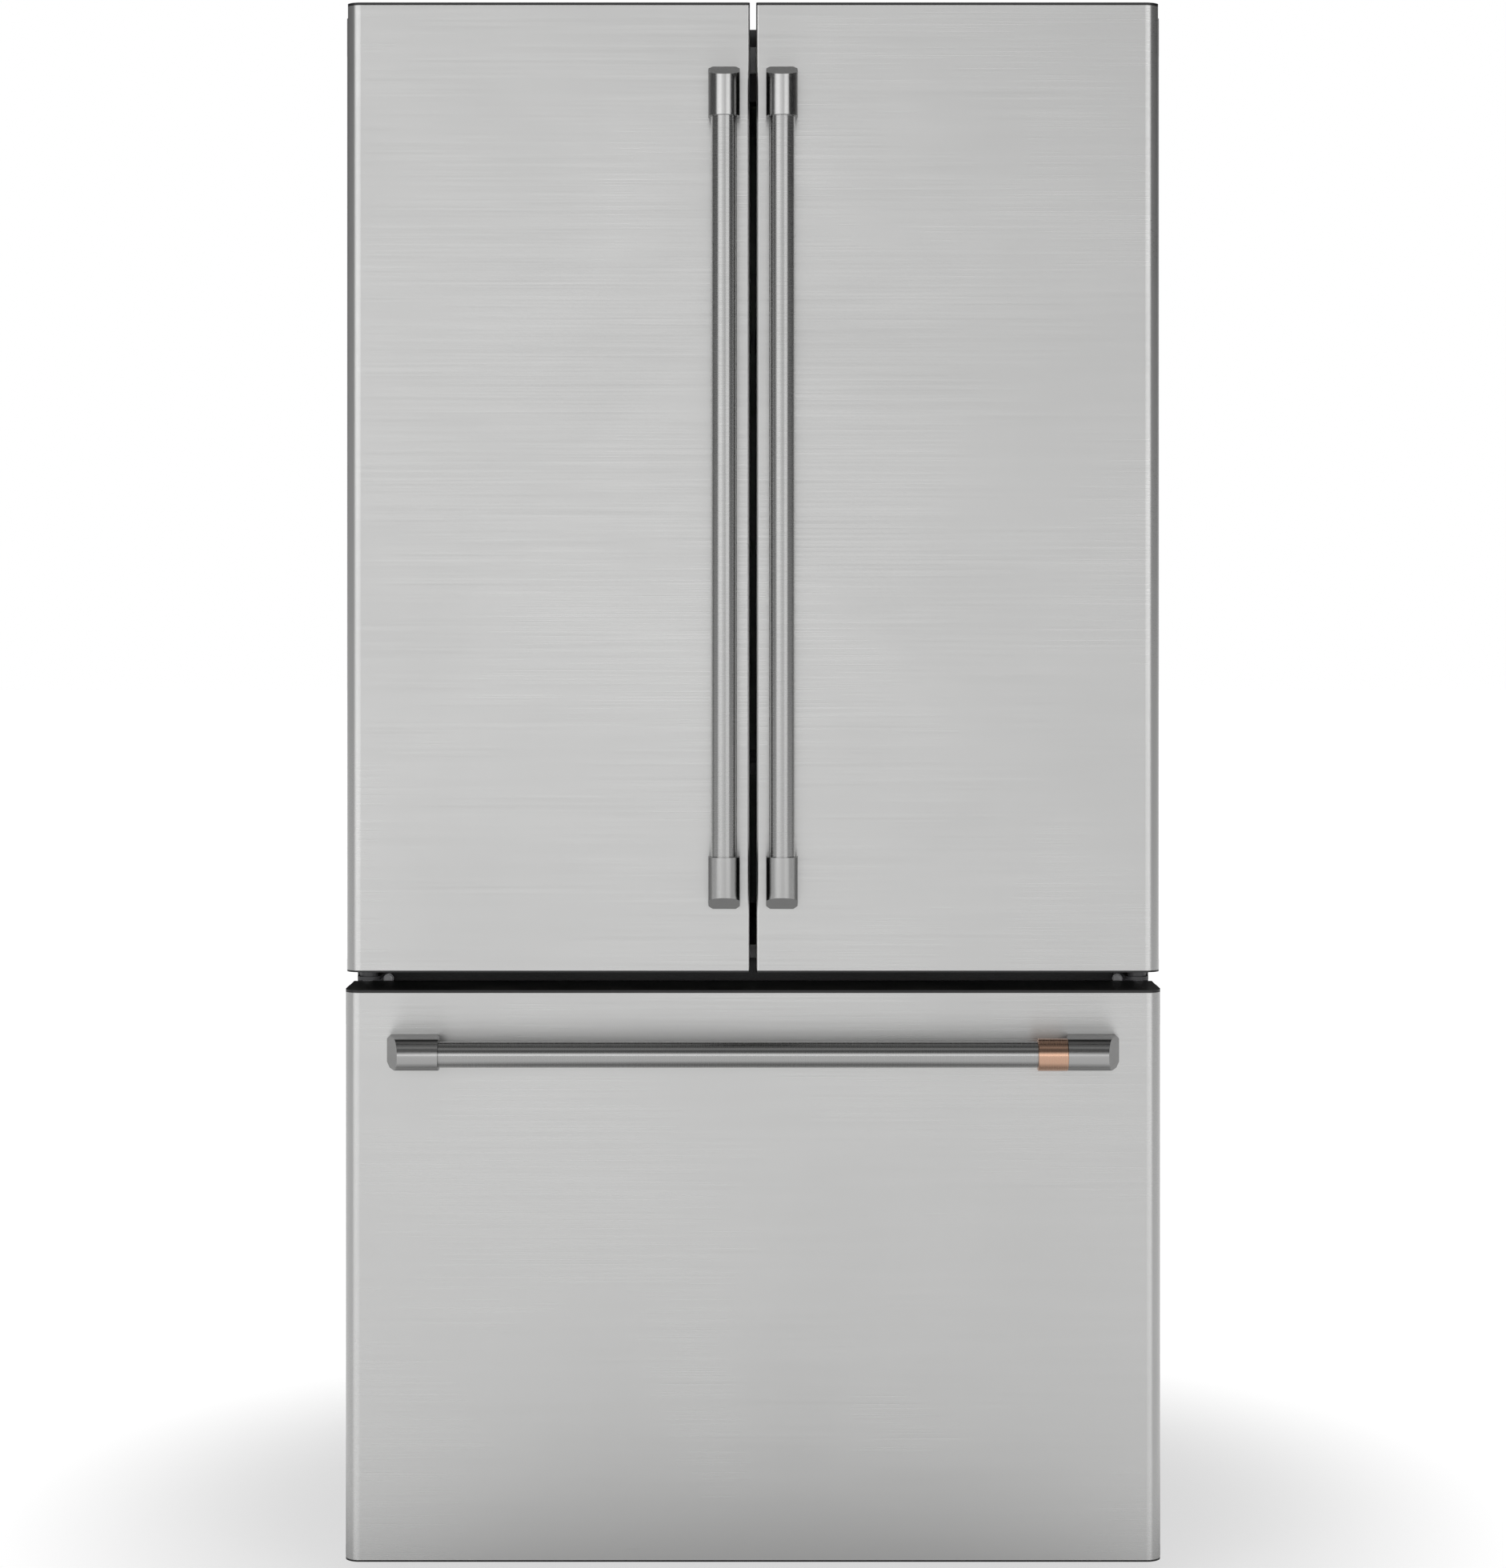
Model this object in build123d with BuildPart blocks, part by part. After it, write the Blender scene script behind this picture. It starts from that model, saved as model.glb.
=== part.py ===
from build123d import *
import os

# A counter-depth french door refrigerator: a foamed cabinet with two hinged doors over a
# freezer drawer.  Millimetres, +Z up, the front faces -Y, the floor is z = 0 and the origin
# is the middle of the whole object's footprint.

# ---- overall sizes -------------------------------------------------------------------
CASE_WIDTH = 906.0
CASE_DEPTH = 619.0
DOOR_THICKNESS = 98.0
DOOR_HEIGHT = 1081.0
DRAWER_HEIGHT = 637.0
DRAWER_BOTTOM = 28.0  # height of the drawer front above the floor
DOOR_OVERHANG = 1.0  # doors past each side of the case
DRAWER_OVERHANG = 2.5
DOOR_GAP = 7.0  # between the two doors
DOOR_DRAWER_GAP = 20.0
SEAL_GAP = 13.0  # between the doors and the case, filled by the gaskets
DOOR_ABOVE_CASE = 12.0

# ---- walls and sheet -----------------------------------------------------------------
SHEET = 1.2
LINER = 2.0
SIDE_WALL = 45.0
TOP_WALL = 50.0
REAR_WALL = 60.0
CASE_RETURN = 20.0  # sheet folded inwards round the front of the case
CASE_BOTTOM = 30.0
PAN_HEIGHT = 40.0
FREEZER_FLOOR = 115.0
GRILLE_SPACE = 30.0  # open air space behind the toe grille
PARTITION = 65.0
PARTITION_RAIL = 35.0
MACHINE_DEPTH = 240.0
MACHINE_HEIGHT = 310.0
STEP_WALL = 30.0  # foam in front of the machine space
STEP_RISE = 20.0  # freezer step above the machine space
LOUVRE_COLUMNS = 6
LOUVRE_ROWS = 6
GRILLE_COLUMNS = 11
GRILLE_ROWS = 3
ROLLER_INSET = 60.0  # case side and back to a roller's middle
LEG_SETBACK = 50.0

# ---- doors ---------------------------------------------------------------------------
OUTER_RADIUS = 17.0
INNER_RADIUS = 3.0
CAP_LIP = 3.0
CAP_PLATE = 2.0
CAP_PLUG = 12.0
CAP_TAB = 1.5  # how far the end cap's side tab stands out of the steel
TAB_HEIGHT = 40.0
RIDGE_DEPTH = 10.0  # the raised front of the top end cap
BACK_RETURN = 15.0
DIKE_WIDTH = 20.0
DIKE_DEPTH = 38.0
DIKE_CENTRE = 40.0  # from the middle of the object to a door's dike
DIKE_SIDE = 58.0  # from the side of the case to a door's dike
GASKET = 12.0
GASKET_INSET = 6.0
HINGE_INSET = 22.0
HINGE_SETBACK = 40.0
PIN_RADIUS = 5.0
PIN_FIT = 0.05
PIN_DEPTH = 12.0
LEAF = 4.0
LEAF_WIDTH = 38.0
LEAF_NOSE = 13.0  # radius of a hinge leaf's round end
LEAF_LENGTH = 110.0  # from the front of the case back

# ---- handles -------------------------------------------------------------------------
HANDLE_REACH = 62.0
HANDLE_CAP_RADIUS = 17.4
HANDLE_BAR_RADIUS = 14.2
HANDLE_CAP_LENGTH = 44.0
HANDLE_BEVEL = 17.0
HANDLE_POST_CHAMFER = 3.5
HANDLE_CORNER = 4.5  # cut off the post's two outer corners
HANDLE_TAPER = 5.0
DOOR_HANDLE_BASE = 71.0  # door bottom to the handle's foot
DOOR_HANDLE_TOP = 72.0  # handle's head to the door top
DOOR_HANDLE_INSET = 32.0  # middle of the object to the bar
DRAWER_HANDLE_MARGIN = 48.0  # drawer side to the handle's end
DRAWER_HANDLE_DROP = 66.0
RING_LENGTH = 33.0
RING_STEP = 0.4

# ---- fittings ------------------------------------------------------------------------
CLEAR = 0.5
BIN_DEPTH = 110.0
BIN_HEIGHT = 130.0
BIN_WALL = 3.0
BIN_COUNT = 3
BIN_START = 255.0
DIKE_END = 15.0  # compartment floor or ceiling to the end of a dike
SHELF_SETBACK = 140.0
SHELF_THICK = 15.0
SHELF_BORDER = 14.0
SHELF_LEVELS = 2
SHELF_SIDE_GAP = 3.0
PANE = 4.0
COVER_BORDER = 20.0
TRACK_DEPTH = 12.0
TRACK_WIDTH = 16.0
CRISPER_HEIGHT = 185.0
CRISPER_GRIP = 14.0
CRISPER_GRIP_HALF = 110.0
CRISPER_TRAVEL = 80.0  # behind closed doors, up to the stowed flipper
CRISPER_SIDE_GAP = 4.0
RAIL_HEIGHT = 40.0
RAIL_THICK = 11.0
RAIL_SLACK = 0.3  # between neighbouring members
RAIL_BACK_GAP = 14.0
RAIL_FRONT_GAP = 5.0
RAIL_RISE = 15.0  # above the freezer step
BASKET_LIFT = 15.0
BASKET_RIM = 30.0  # above the runners
BASKET_BACK_GAP = 12.0
FLIPPER_WIDTH = 56.0
FLIPPER_THICK = 17.0
FLIPPER_PIN = 3.0
FLIPPER_DIKE_GAP = 4.5
FLIPPER_PIVOT_EDGE = 6.0  # bar's edge to its pivot
FLIPPER_CRISPER_GAP = 6.0
ROLLER_RADIUS = 18.0
ROLLER_WIDTH = 20.0
AXLE_RADIUS = 4.0
FAN_RADIUS = 48.0
SPINDLE = 2.5
COIL_MARGIN = 108.0  # compartment side to the evaporator coil
COIL_ROWS = 5
EVAPORATOR_SPACE = 75.0
DUCT_HALF = 70.0
COMPRESSOR_X = 250.0
CONDENSER_X = 200.0

# ---- derived places ------------------------------------------------------------------
DOOR_PAIR_WIDTH = CASE_WIDTH + 2 * DOOR_OVERHANG
DRAWER_WIDTH = CASE_WIDTH + 2 * DRAWER_OVERHANG
DOOR_HANDLE_LENGTH = DOOR_HEIGHT - DOOR_HANDLE_BASE - DOOR_HANDLE_TOP
DRAWER_HANDLE_LENGTH = DRAWER_WIDTH - 2 * DRAWER_HANDLE_MARGIN
REACH = HANDLE_REACH + RING_STEP
DEPTH = REACH + DOOR_THICKNESS + SEAL_GAP + CASE_DEPTH
DOOR_FRONT = -DEPTH / 2 + REACH
DOOR_BACK = DOOR_FRONT + DOOR_THICKNESS
CASE_FRONT = DOOR_BACK + SEAL_GAP
CASE_BACK = CASE_FRONT + CASE_DEPTH
HALF = CASE_WIDTH / 2
DRAWER_TOP = DRAWER_BOTTOM + DRAWER_HEIGHT
DOOR_BOTTOM = DRAWER_TOP + DOOR_DRAWER_GAP
DOOR_TOP = DOOR_BOTTOM + DOOR_HEIGHT
CASE_TOP = DOOR_TOP - DOOR_ABOVE_CASE
CAVITY_HALF = HALF - SIDE_WALL
CAVITY_BACK = CASE_BACK - REAR_WALL
FRESH_FLOOR = DOOR_BOTTOM + DOOR_DRAWER_GAP
FRESH_CEILING = CASE_TOP - TOP_WALL
FREEZER_CEILING = FRESH_FLOOR - PARTITION
RAIL_TOP = (FRESH_FLOOR + FREEZER_CEILING + PARTITION_RAIL) / 2
RAIL_BOTTOM = RAIL_TOP - PARTITION_RAIL
MACHINE_FRONT = CASE_BACK - MACHINE_DEPTH
LOWER_BACK = MACHINE_FRONT - STEP_WALL
STEP_HEIGHT = MACHINE_HEIGHT + STEP_RISE
DIKE_BACK = DOOR_BACK + DIKE_DEPTH
HINGE_X = DOOR_PAIR_WIDTH / 2 - HINGE_INSET
HINGE_Y = DOOR_FRONT + HINGE_SETBACK
SHOULDER = CASE_TOP - 2 * CAP_PLATE  # top of the door behind the raised front
DIKE_OUTER = HALF - DIKE_SIDE
ROLLER_X = HALF - ROLLER_INSET
ROLLER_Y = CASE_BACK - ROLLER_INSET
LEG_Y = CASE_FRONT + LEG_SETBACK
GRILLE_TOP = FREEZER_FLOOR - SIDE_WALL / 2
COVER_TOP = FRESH_FLOOR + CRISPER_HEIGHT + 2 * CLEAR + SHELF_THICK
GUIDE_LOW = FRESH_CEILING - 32
SHELF_PITCH = (FRESH_CEILING - COVER_TOP) / (SHELF_LEVELS + 1)
DIKE_LOW = FRESH_FLOOR + DIKE_END
DIKE_HIGH = FRESH_CEILING - DIKE_END
BIN_PITCH = (DIKE_HIGH - DIKE_WIDTH - DOOR_BOTTOM - BIN_START) / BIN_COUNT
FLIPPER_X = -DIKE_CENTRE + FLIPPER_DIKE_GAP + FLIPPER_THICK / 2
FLIPPER_Y = CASE_FRONT + FLIPPER_THICK / 2 + CLEAR
FLIPPER_LOW = FRESH_FLOOR + 12
FLIPPER_HIGH = GUIDE_LOW - 8
FLIPPER_BACK = FLIPPER_Y - FLIPPER_PIVOT_EDGE + FLIPPER_WIDTH
CRISPER_FRONT = FLIPPER_BACK + FLIPPER_CRISPER_GAP + CRISPER_TRAVEL + CRISPER_GRIP
FAN_Z = FREEZER_CEILING - FAN_RADIUS - 12
COIL_TOP = FAN_Z - FAN_RADIUS - SPINDLE * 2
EVAPORATOR_FRONT = CAVITY_BACK - EVAPORATOR_SPACE
RAIL_Z = STEP_HEIGHT + RAIL_RISE
RAIL_FRONT = DIKE_BACK + RAIL_FRONT_GAP
RAIL_BACK = EVAPORATOR_FRONT - RAIL_BACK_GAP


def slab(x, y, z, mode=Mode.ADD):
    """A box between the two limits given on each axis."""
    with Locations(((x[0] + x[1]) / 2, (y[0] + y[1]) / 2, (z[0] + z[1]) / 2)):
        Box(x[1] - x[0], y[1] - y[0], z[1] - z[0], mode=mode)


def rod(point, direction, radius, length, mode=Mode.ADD):
    """A round rod from a point along a direction."""
    with BuildSketch(Plane(origin=point, z_dir=direction)) as circle:
        Circle(radius)
    extrude(circle.sketch, amount=length, mode=mode)


def span(side, near, far):
    """The limits of a stretch on one side of the middle, side being -1 or 1."""
    return tuple(sorted((side * near, side * far)))


def save(part, name):
    """Label one piece and write it."""
    part.part.label = name
    export_step(part.part, f"parts/{name}.step")


def panel_outline(x, inset, left_radius, right_radius):
    """Plan of a door or drawer front, its two front corners rounded."""
    with BuildSketch() as plan:
        with Locations(((x[0] + x[1]) / 2, (DOOR_FRONT + DOOR_BACK) / 2)):
            Rectangle(x[1] - x[0] - 2 * inset, DOOR_THICKNESS - 2 * inset)
        for corner, radius in ((0, left_radius), (-1, right_radius)):
            front = plan.vertices().group_by(Axis.Y)[0].sort_by(Axis.X)
            fillet(front[corner], radius - inset)
    return plan.sketch


os.makedirs("parts", exist_ok=True)


# ---- cabinet -------------------------------------------------------------------------
def cabinet_case():
    with BuildPart() as case:
        slab((-HALF, HALF), (CASE_FRONT, CASE_BACK), (CASE_BOTTOM, CASE_TOP))
        inside = HALF - SHEET
        slab((-inside, inside), (CASE_FRONT + SHEET, CASE_BACK), (CASE_BOTTOM, CASE_TOP - SHEET),
             Mode.SUBTRACT)
        mouth = HALF - CASE_RETURN
        slab((-mouth, mouth), (CASE_FRONT, CASE_FRONT + SHEET),
             (CASE_BOTTOM, CASE_TOP - CASE_RETURN), Mode.SUBTRACT)
    save(case, "cabinet_case")


def back_panel():
    """Rear sheet, louvred over the machine space."""
    inside = HALF - SHEET
    with BuildPart() as back:
        slab((-inside, inside), (CASE_BACK - SHEET, CASE_BACK), (CASE_BOTTOM, CASE_TOP - SHEET))
        with BuildSketch(Plane.XZ.offset(-CASE_BACK)) as louvres:
            pitch = 2 * inside / (LOUVRE_COLUMNS + 2)
            with Locations((0, PAN_HEIGHT + MACHINE_HEIGHT / 2)):
                with GridLocations(pitch, MACHINE_HEIGHT / 11, LOUVRE_COLUMNS, LOUVRE_ROWS):
                    SlotOverall(0.7 * pitch, 6)
        extrude(louvres.sketch, amount=SHEET, mode=Mode.SUBTRACT)
    save(back, "back_panel")


def base_pan():
    """Floor of the cabinet, with the cheeks that carry the rollers' axles."""
    inside = HALF - SHEET
    reach = (CASE_FRONT + 2 * LINER, CASE_BACK - SHEET)
    with BuildPart() as pan:
        slab((-inside, inside), reach, (PAN_HEIGHT, PAN_HEIGHT + LINER))
        for side in (-1, 1):
            for cheek in (-1, 1):
                near = ROLLER_X + cheek * (ROLLER_WIDTH / 2 + 1) + min(cheek, 0) * 3
                slab(span(side, near, near + 3), (ROLLER_Y - 15, ROLLER_Y + 15),
                     (ROLLER_RADIUS - 10, PAN_HEIGHT))
            rod((side * (ROLLER_X - 40), ROLLER_Y, ROLLER_RADIUS), (side, 0, 0),
                AXLE_RADIUS, 80, Mode.SUBTRACT)
    save(pan, "base_pan")


def insulation():
    """Foam between the case and the two liners, stepped up over the machine space."""
    inside = HALF - SHEET
    with BuildPart() as foam:
        slab((-inside, inside), (CASE_FRONT + LINER, CASE_BACK - SHEET),
             (PAN_HEIGHT + LINER, CASE_TOP - SHEET))
        hole = CAVITY_HALF + LINER
        slab((-hole, hole), (CASE_FRONT, CAVITY_BACK + LINER),
             (FRESH_FLOOR - LINER, FRESH_CEILING + LINER), Mode.SUBTRACT)
        slab((-hole, hole), (CASE_FRONT, CAVITY_BACK + LINER),
             (STEP_HEIGHT - LINER, FREEZER_CEILING + LINER), Mode.SUBTRACT)
        slab((-hole, hole), (CASE_FRONT, LOWER_BACK + LINER),
             (FREEZER_FLOOR - LINER, STEP_HEIGHT), Mode.SUBTRACT)
        slab((-inside, inside), (MACHINE_FRONT, CASE_BACK), (PAN_HEIGHT, MACHINE_HEIGHT - 30),
             Mode.SUBTRACT)
        slab((-inside, inside), (CASE_FRONT, CASE_FRONT + GRILLE_SPACE), (PAN_HEIGHT, GRILLE_TOP),
             Mode.SUBTRACT)
    save(foam, "insulation")


def liner_flange(low, high):
    """Front flange of a liner, out to the case's return."""
    mouth = HALF - CASE_RETURN
    slab((-mouth, mouth), (CASE_FRONT, CASE_FRONT + LINER), (low, high))


def fresh_food_liner():
    wall = CAVITY_HALF + LINER
    with BuildPart() as liner:
        slab((-wall, wall), (CASE_FRONT, CAVITY_BACK + LINER),
             (FRESH_FLOOR - LINER, FRESH_CEILING + LINER))
        liner_flange(RAIL_TOP, CASE_TOP - CASE_RETURN)
        slab((-CAVITY_HALF, CAVITY_HALF), (CASE_FRONT, CAVITY_BACK),
             (FRESH_FLOOR, FRESH_CEILING), Mode.SUBTRACT)
    save(liner, "fresh_food_liner")


def freezer_liner():
    wall = CAVITY_HALF + LINER
    with BuildPart() as liner:
        slab((-wall, wall), (CASE_FRONT, CAVITY_BACK + LINER),
             (STEP_HEIGHT - LINER, FREEZER_CEILING + LINER))
        slab((-wall, wall), (CASE_FRONT, LOWER_BACK + LINER),
             (FREEZER_FLOOR - LINER, STEP_HEIGHT))
        liner_flange(GRILLE_TOP, RAIL_BOTTOM)
        slab((-CAVITY_HALF, CAVITY_HALF), (CASE_FRONT, CAVITY_BACK),
             (STEP_HEIGHT, FREEZER_CEILING), Mode.SUBTRACT)
        slab((-CAVITY_HALF, CAVITY_HALF), (CASE_FRONT, LOWER_BACK),
             (FREEZER_FLOOR, STEP_HEIGHT), Mode.SUBTRACT)
    save(liner, "freezer_liner")


def partition_rail():
    mouth = HALF - CASE_RETURN
    with BuildPart() as rail:
        slab((-mouth, mouth), (CASE_FRONT, CASE_FRONT + LINER), (RAIL_BOTTOM, RAIL_TOP))
    save(rail, "partition_rail")


def toe_grille():
    """Slotted plate that closes the cabinet below the freezer."""
    mouth = HALF - CASE_RETURN
    with BuildPart() as grille:
        slab((-mouth, mouth), (CASE_FRONT, CASE_FRONT + 2 * LINER), (PAN_HEIGHT, GRILLE_TOP))
        with BuildSketch(Plane.XZ.offset(-CASE_FRONT)) as slots:
            pitch = 2 * mouth / (GRILLE_COLUMNS + 1)
            rise = (GRILLE_TOP - PAN_HEIGHT) / (GRILLE_ROWS + 1)
            with Locations((0, (PAN_HEIGHT + GRILLE_TOP) / 2)):
                with GridLocations(pitch, rise, GRILLE_COLUMNS, GRILLE_ROWS):
                    SlotOverall(0.8 * pitch, rise / 2.5)
        extrude(slots.sketch, amount=-2 * LINER, mode=Mode.SUBTRACT)
    save(grille, "toe_grille")


def top_hinges():
    """Leaf on the case top over each door, with its pin down on the door's axis."""
    leaf_back = CASE_FRONT + LEAF_LENGTH
    with BuildPart() as top:
        for side in (-1, 1):
            with BuildSketch(Plane.XY.offset(CASE_TOP)) as plan:
                with Locations((side * HINGE_X, (HINGE_Y + CASE_FRONT) / 2 + LEAF_NOSE)):
                    SlotOverall(CASE_FRONT - HINGE_Y + 4 * LEAF_NOSE, 2 * LEAF_NOSE, rotation=90)
            extrude(plan.sketch, amount=LEAF)
            leaf = span(side, HINGE_X - LEAF_WIDTH / 2, HINGE_X + LEAF_WIDTH / 2)
            slab(leaf, (CASE_FRONT + 8, leaf_back), (CASE_TOP, CASE_TOP + LEAF))
            rod((side * HINGE_X, HINGE_Y, CASE_TOP), (0, 0, -1), PIN_RADIUS,
                CASE_TOP - SHOULDER + PIN_DEPTH)
    save(top, "top_hinges")


def centre_hinges():
    """Bracket between each door and the drawer, with its pin up into the door."""
    low = (DRAWER_TOP + DOOR_BOTTOM - LEAF) / 2
    with BuildPart() as centre:
        for side in (-1, 1):
            with BuildSketch(Plane.XY.offset(low)) as plan:
                with Locations((side * HINGE_X, (HINGE_Y + CASE_FRONT) / 2)):
                    SlotOverall(CASE_FRONT - HINGE_Y + 2 * LEAF_NOSE, 2 * LEAF_NOSE, rotation=90)
                with Locations((side * HINGE_X, CASE_FRONT + LEAF_NOSE)):
                    Rectangle(3 * LEAF_NOSE, 2 * LEAF_NOSE, mode=Mode.SUBTRACT)
            extrude(plan.sketch, amount=LEAF)
            plate = span(side, HINGE_X - LEAF_WIDTH / 2, HINGE_X + LEAF_WIDTH / 2)
            slab(plate, (CASE_FRONT - LEAF, CASE_FRONT), (low - 3 * LEAF, low + 3 * LEAF))
            foot = (side * HINGE_X, HINGE_Y, low)
            rod(foot, (0, 0, 1), PIN_RADIUS, DOOR_BOTTOM - low + PIN_DEPTH)
            rod(foot, (0, 0, 1), 2 * PIN_RADIUS, DOOR_BOTTOM - low - CLEAR)
    save(centre, "centre_hinges")


def hinge_covers():
    """Plastic covers over the two top leaves, behind the doors."""
    with BuildPart() as covers:
        for side in (-1, 1):
            edge = span(side, HINGE_X - 40, HALF)
            with BuildSketch(Plane.XY.offset(CASE_TOP)) as plan:
                with Locations(((edge[0] + edge[1]) / 2, CASE_FRONT + 68)):
                    RectangleRounded(edge[1] - edge[0], 128, 8)
            extrude(plan.sketch, amount=DOOR_ABOVE_CASE)
            slab(span(side, HINGE_X - LEAF_WIDTH / 2, HINGE_X + LEAF_WIDTH / 2),
                 (CASE_FRONT, CASE_FRONT + LEAF_LENGTH), (CASE_TOP, CASE_TOP + LEAF), Mode.SUBTRACT)
    save(covers, "hinge_covers")


def levelling_legs():
    with BuildPart() as legs:
        for side in (-1, 1):
            rod((side * ROLLER_X, LEG_Y, 0), (0, 0, 1), 18, 7)
            rod((side * ROLLER_X, LEG_Y, 0), (0, 0, 1), 6, PAN_HEIGHT)
    save(legs, "levelling_legs")


def rollers():
    """The two rear rollers, in line with each other, and their axle pins."""
    with BuildPart() as pair:
        for side in (-1, 1):
            start = (side * (ROLLER_X - ROLLER_WIDTH / 2), ROLLER_Y, ROLLER_RADIUS)
            rod(start, (side, 0, 0), ROLLER_RADIUS, ROLLER_WIDTH)
        chamfer(pair.edges().filter_by(GeomType.CIRCLE), 2)
        for side in (-1, 1):
            start = (side * (ROLLER_X - ROLLER_WIDTH / 2), ROLLER_Y, ROLLER_RADIUS)
            rod(start, (side, 0, 0), AXLE_RADIUS + PIN_FIT, ROLLER_WIDTH, Mode.SUBTRACT)
    save(pair, "rear_rollers")
    with BuildPart() as axles:
        for side in (-1, 1):
            rod((side * (ROLLER_X - 16), ROLLER_Y, ROLLER_RADIUS), (side, 0, 0), AXLE_RADIUS, 32)
    save(axles, "roller_axles")


# ---- fresh food compartment ----------------------------------------------------------
def shelves():
    """Two levels of half-width shelves: glass panes in plastic frames, on the rear tracks."""
    back = CAVITY_BACK - TRACK_DEPTH
    front = CASE_FRONT + SHELF_SETBACK
    lap = SHELF_BORDER / 2
    edge = (SHELF_SIDE_GAP, CAVITY_HALF - SHELF_SIDE_GAP)
    levels = [COVER_TOP + (count + 1) * SHELF_PITCH for count in range(SHELF_LEVELS)]
    pane_y = (front + SHELF_BORDER - lap, back - SHELF_BORDER + lap)
    with BuildPart() as frames:
        for side in (-1, 1):
            for top in levels:
                height = (top - SHELF_THICK, top)
                slab(span(side, *edge), (front, back), height)
                slab(span(side, edge[0] + SHELF_BORDER, edge[1] - SHELF_BORDER),
                     (front + SHELF_BORDER, back - SHELF_BORDER), height, Mode.SUBTRACT)
                slab(span(side, edge[0] + lap, edge[1] - lap), pane_y, (top - PANE, top),
                     Mode.SUBTRACT)
    save(frames, "shelf_frames")
    with BuildPart() as panes:
        for side in (-1, 1):
            for top in levels:
                slab(span(side, edge[0] + lap, edge[1] - lap), pane_y, (top - PANE, top))
        rim = CAVITY_HALF - COVER_BORDER
        slab((-rim, rim), (CRISPER_FRONT + COVER_BORDER, CAVITY_BACK - COVER_BORDER),
             (COVER_TOP - PANE, COVER_TOP))
    save(panes, "shelf_panes")
    with BuildPart() as tracks:
        for x in (-CAVITY_HALF + 30, -DUCT_HALF - 20, DUCT_HALF + 20, CAVITY_HALF - 30):
            slab((x - TRACK_WIDTH / 2, x + TRACK_WIDTH / 2), (back, CAVITY_BACK),
                 (COVER_TOP + 60, FRESH_CEILING - 60))
    save(tracks, "shelf_tracks")


def crispers():
    front = CRISPER_FRONT
    back = CAVITY_BACK - CLEAR
    low = FRESH_FLOOR + CLEAR
    high = low + CRISPER_HEIGHT
    for side, word in ((-1, "left"), (1, "right")):
        edge = (CRISPER_SIDE_GAP, CAVITY_HALF - CRISPER_SIDE_GAP)
        with BuildPart() as box:
            slab(span(side, *edge), (front, back), (low, high))
            fillet(box.edges().filter_by(Axis.Z), 10)
            slab(span(side, edge[0] + BIN_WALL, edge[1] - BIN_WALL),
                 (front + BIN_WALL, back - BIN_WALL), (low + BIN_WALL, high), Mode.SUBTRACT)
            middle = side * (edge[0] + edge[1]) / 2
            slab((middle - CRISPER_GRIP_HALF, middle + CRISPER_GRIP_HALF),
                 (front - CRISPER_GRIP, front + BIN_WALL), (high - 22, high - 18))
        save(box, f"{word}_crisper")
    rim = CAVITY_HALF - COVER_BORDER
    with BuildPart() as cover:
        slab((-CAVITY_HALF, CAVITY_HALF), (front, CAVITY_BACK), (high + CLEAR, COVER_TOP))
        slab((-rim, rim), (front + COVER_BORDER, CAVITY_BACK - COVER_BORDER),
             (COVER_TOP - PANE, COVER_TOP), Mode.SUBTRACT)
    save(cover, "crisper_cover")


def air_duct():
    """Moulded cover over the cold air duct, with outlet slots."""
    with BuildPart() as duct:
        slab((-DUCT_HALF, DUCT_HALF), (CAVITY_BACK - TRACK_DEPTH, CAVITY_BACK),
             (COVER_TOP, FRESH_CEILING))
        with BuildSketch(Plane.XZ.offset(-CAVITY_BACK + TRACK_DEPTH)) as outlets:
            with Locations((0, (COVER_TOP + FRESH_CEILING) / 2)):
                with GridLocations(50, (FRESH_CEILING - COVER_TOP) / 5, 2, 4):
                    SlotOverall(36, 8)
        extrude(outlets.sketch, amount=-TRACK_DEPTH / 2, mode=Mode.SUBTRACT)
    save(duct, "air_duct_cover")


def ceiling_fittings():
    with BuildPart() as light:
        slab((-150, 150), (CASE_FRONT + 200, CASE_FRONT + 245), (FRESH_CEILING - 8, FRESH_CEILING))
        fillet(light.faces().sort_by(Axis.Z)[0].edges(), 5)
    save(light, "interior_light")
    with BuildPart() as guide:
        slab((-18, 18), (CASE_FRONT + 4, CASE_FRONT + 40), (GUIDE_LOW, FRESH_CEILING))
        chamfer(guide.edges().filter_by(Axis.Z), 4)
    save(guide, "flipper_guide")


# ---- refrigeration -------------------------------------------------------------------
def evaporator():
    with BuildPart() as cover:
        slab((-CAVITY_HALF, CAVITY_HALF), (EVAPORATOR_FRONT, EVAPORATOR_FRONT + BIN_WALL),
             (STEP_HEIGHT, FREEZER_CEILING))
        rod((0, EVAPORATOR_FRONT, FAN_Z), (0, 1, 0), FAN_RADIUS + 3, BIN_WALL, Mode.SUBTRACT)
    save(cover, "evaporator_cover")
    with BuildPart() as coil:
        coil_half = CAVITY_HALF - COIL_MARGIN
        for side in (-1, 1):
            slab(span(side, coil_half - 4, coil_half), (CAVITY_BACK - 62, CAVITY_BACK - 8),
                 (STEP_HEIGHT, COIL_TOP))
        with BuildSketch(Plane.YZ.offset(-coil_half)) as rows:
            with Locations((CAVITY_BACK - 35, (STEP_HEIGHT + COIL_TOP) / 2)):
                with GridLocations(24, (COIL_TOP - STEP_HEIGHT) / (COIL_ROWS + 1), 2, COIL_ROWS):
                    Circle(4)
        extrude(rows.sketch, amount=2 * coil_half)
    save(coil, "evaporator_coil")
    fan_rotor((0, CAVITY_BACK - 51, FAN_Z), (0, -1, 0), FAN_RADIUS, "evaporator_fan")


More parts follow.
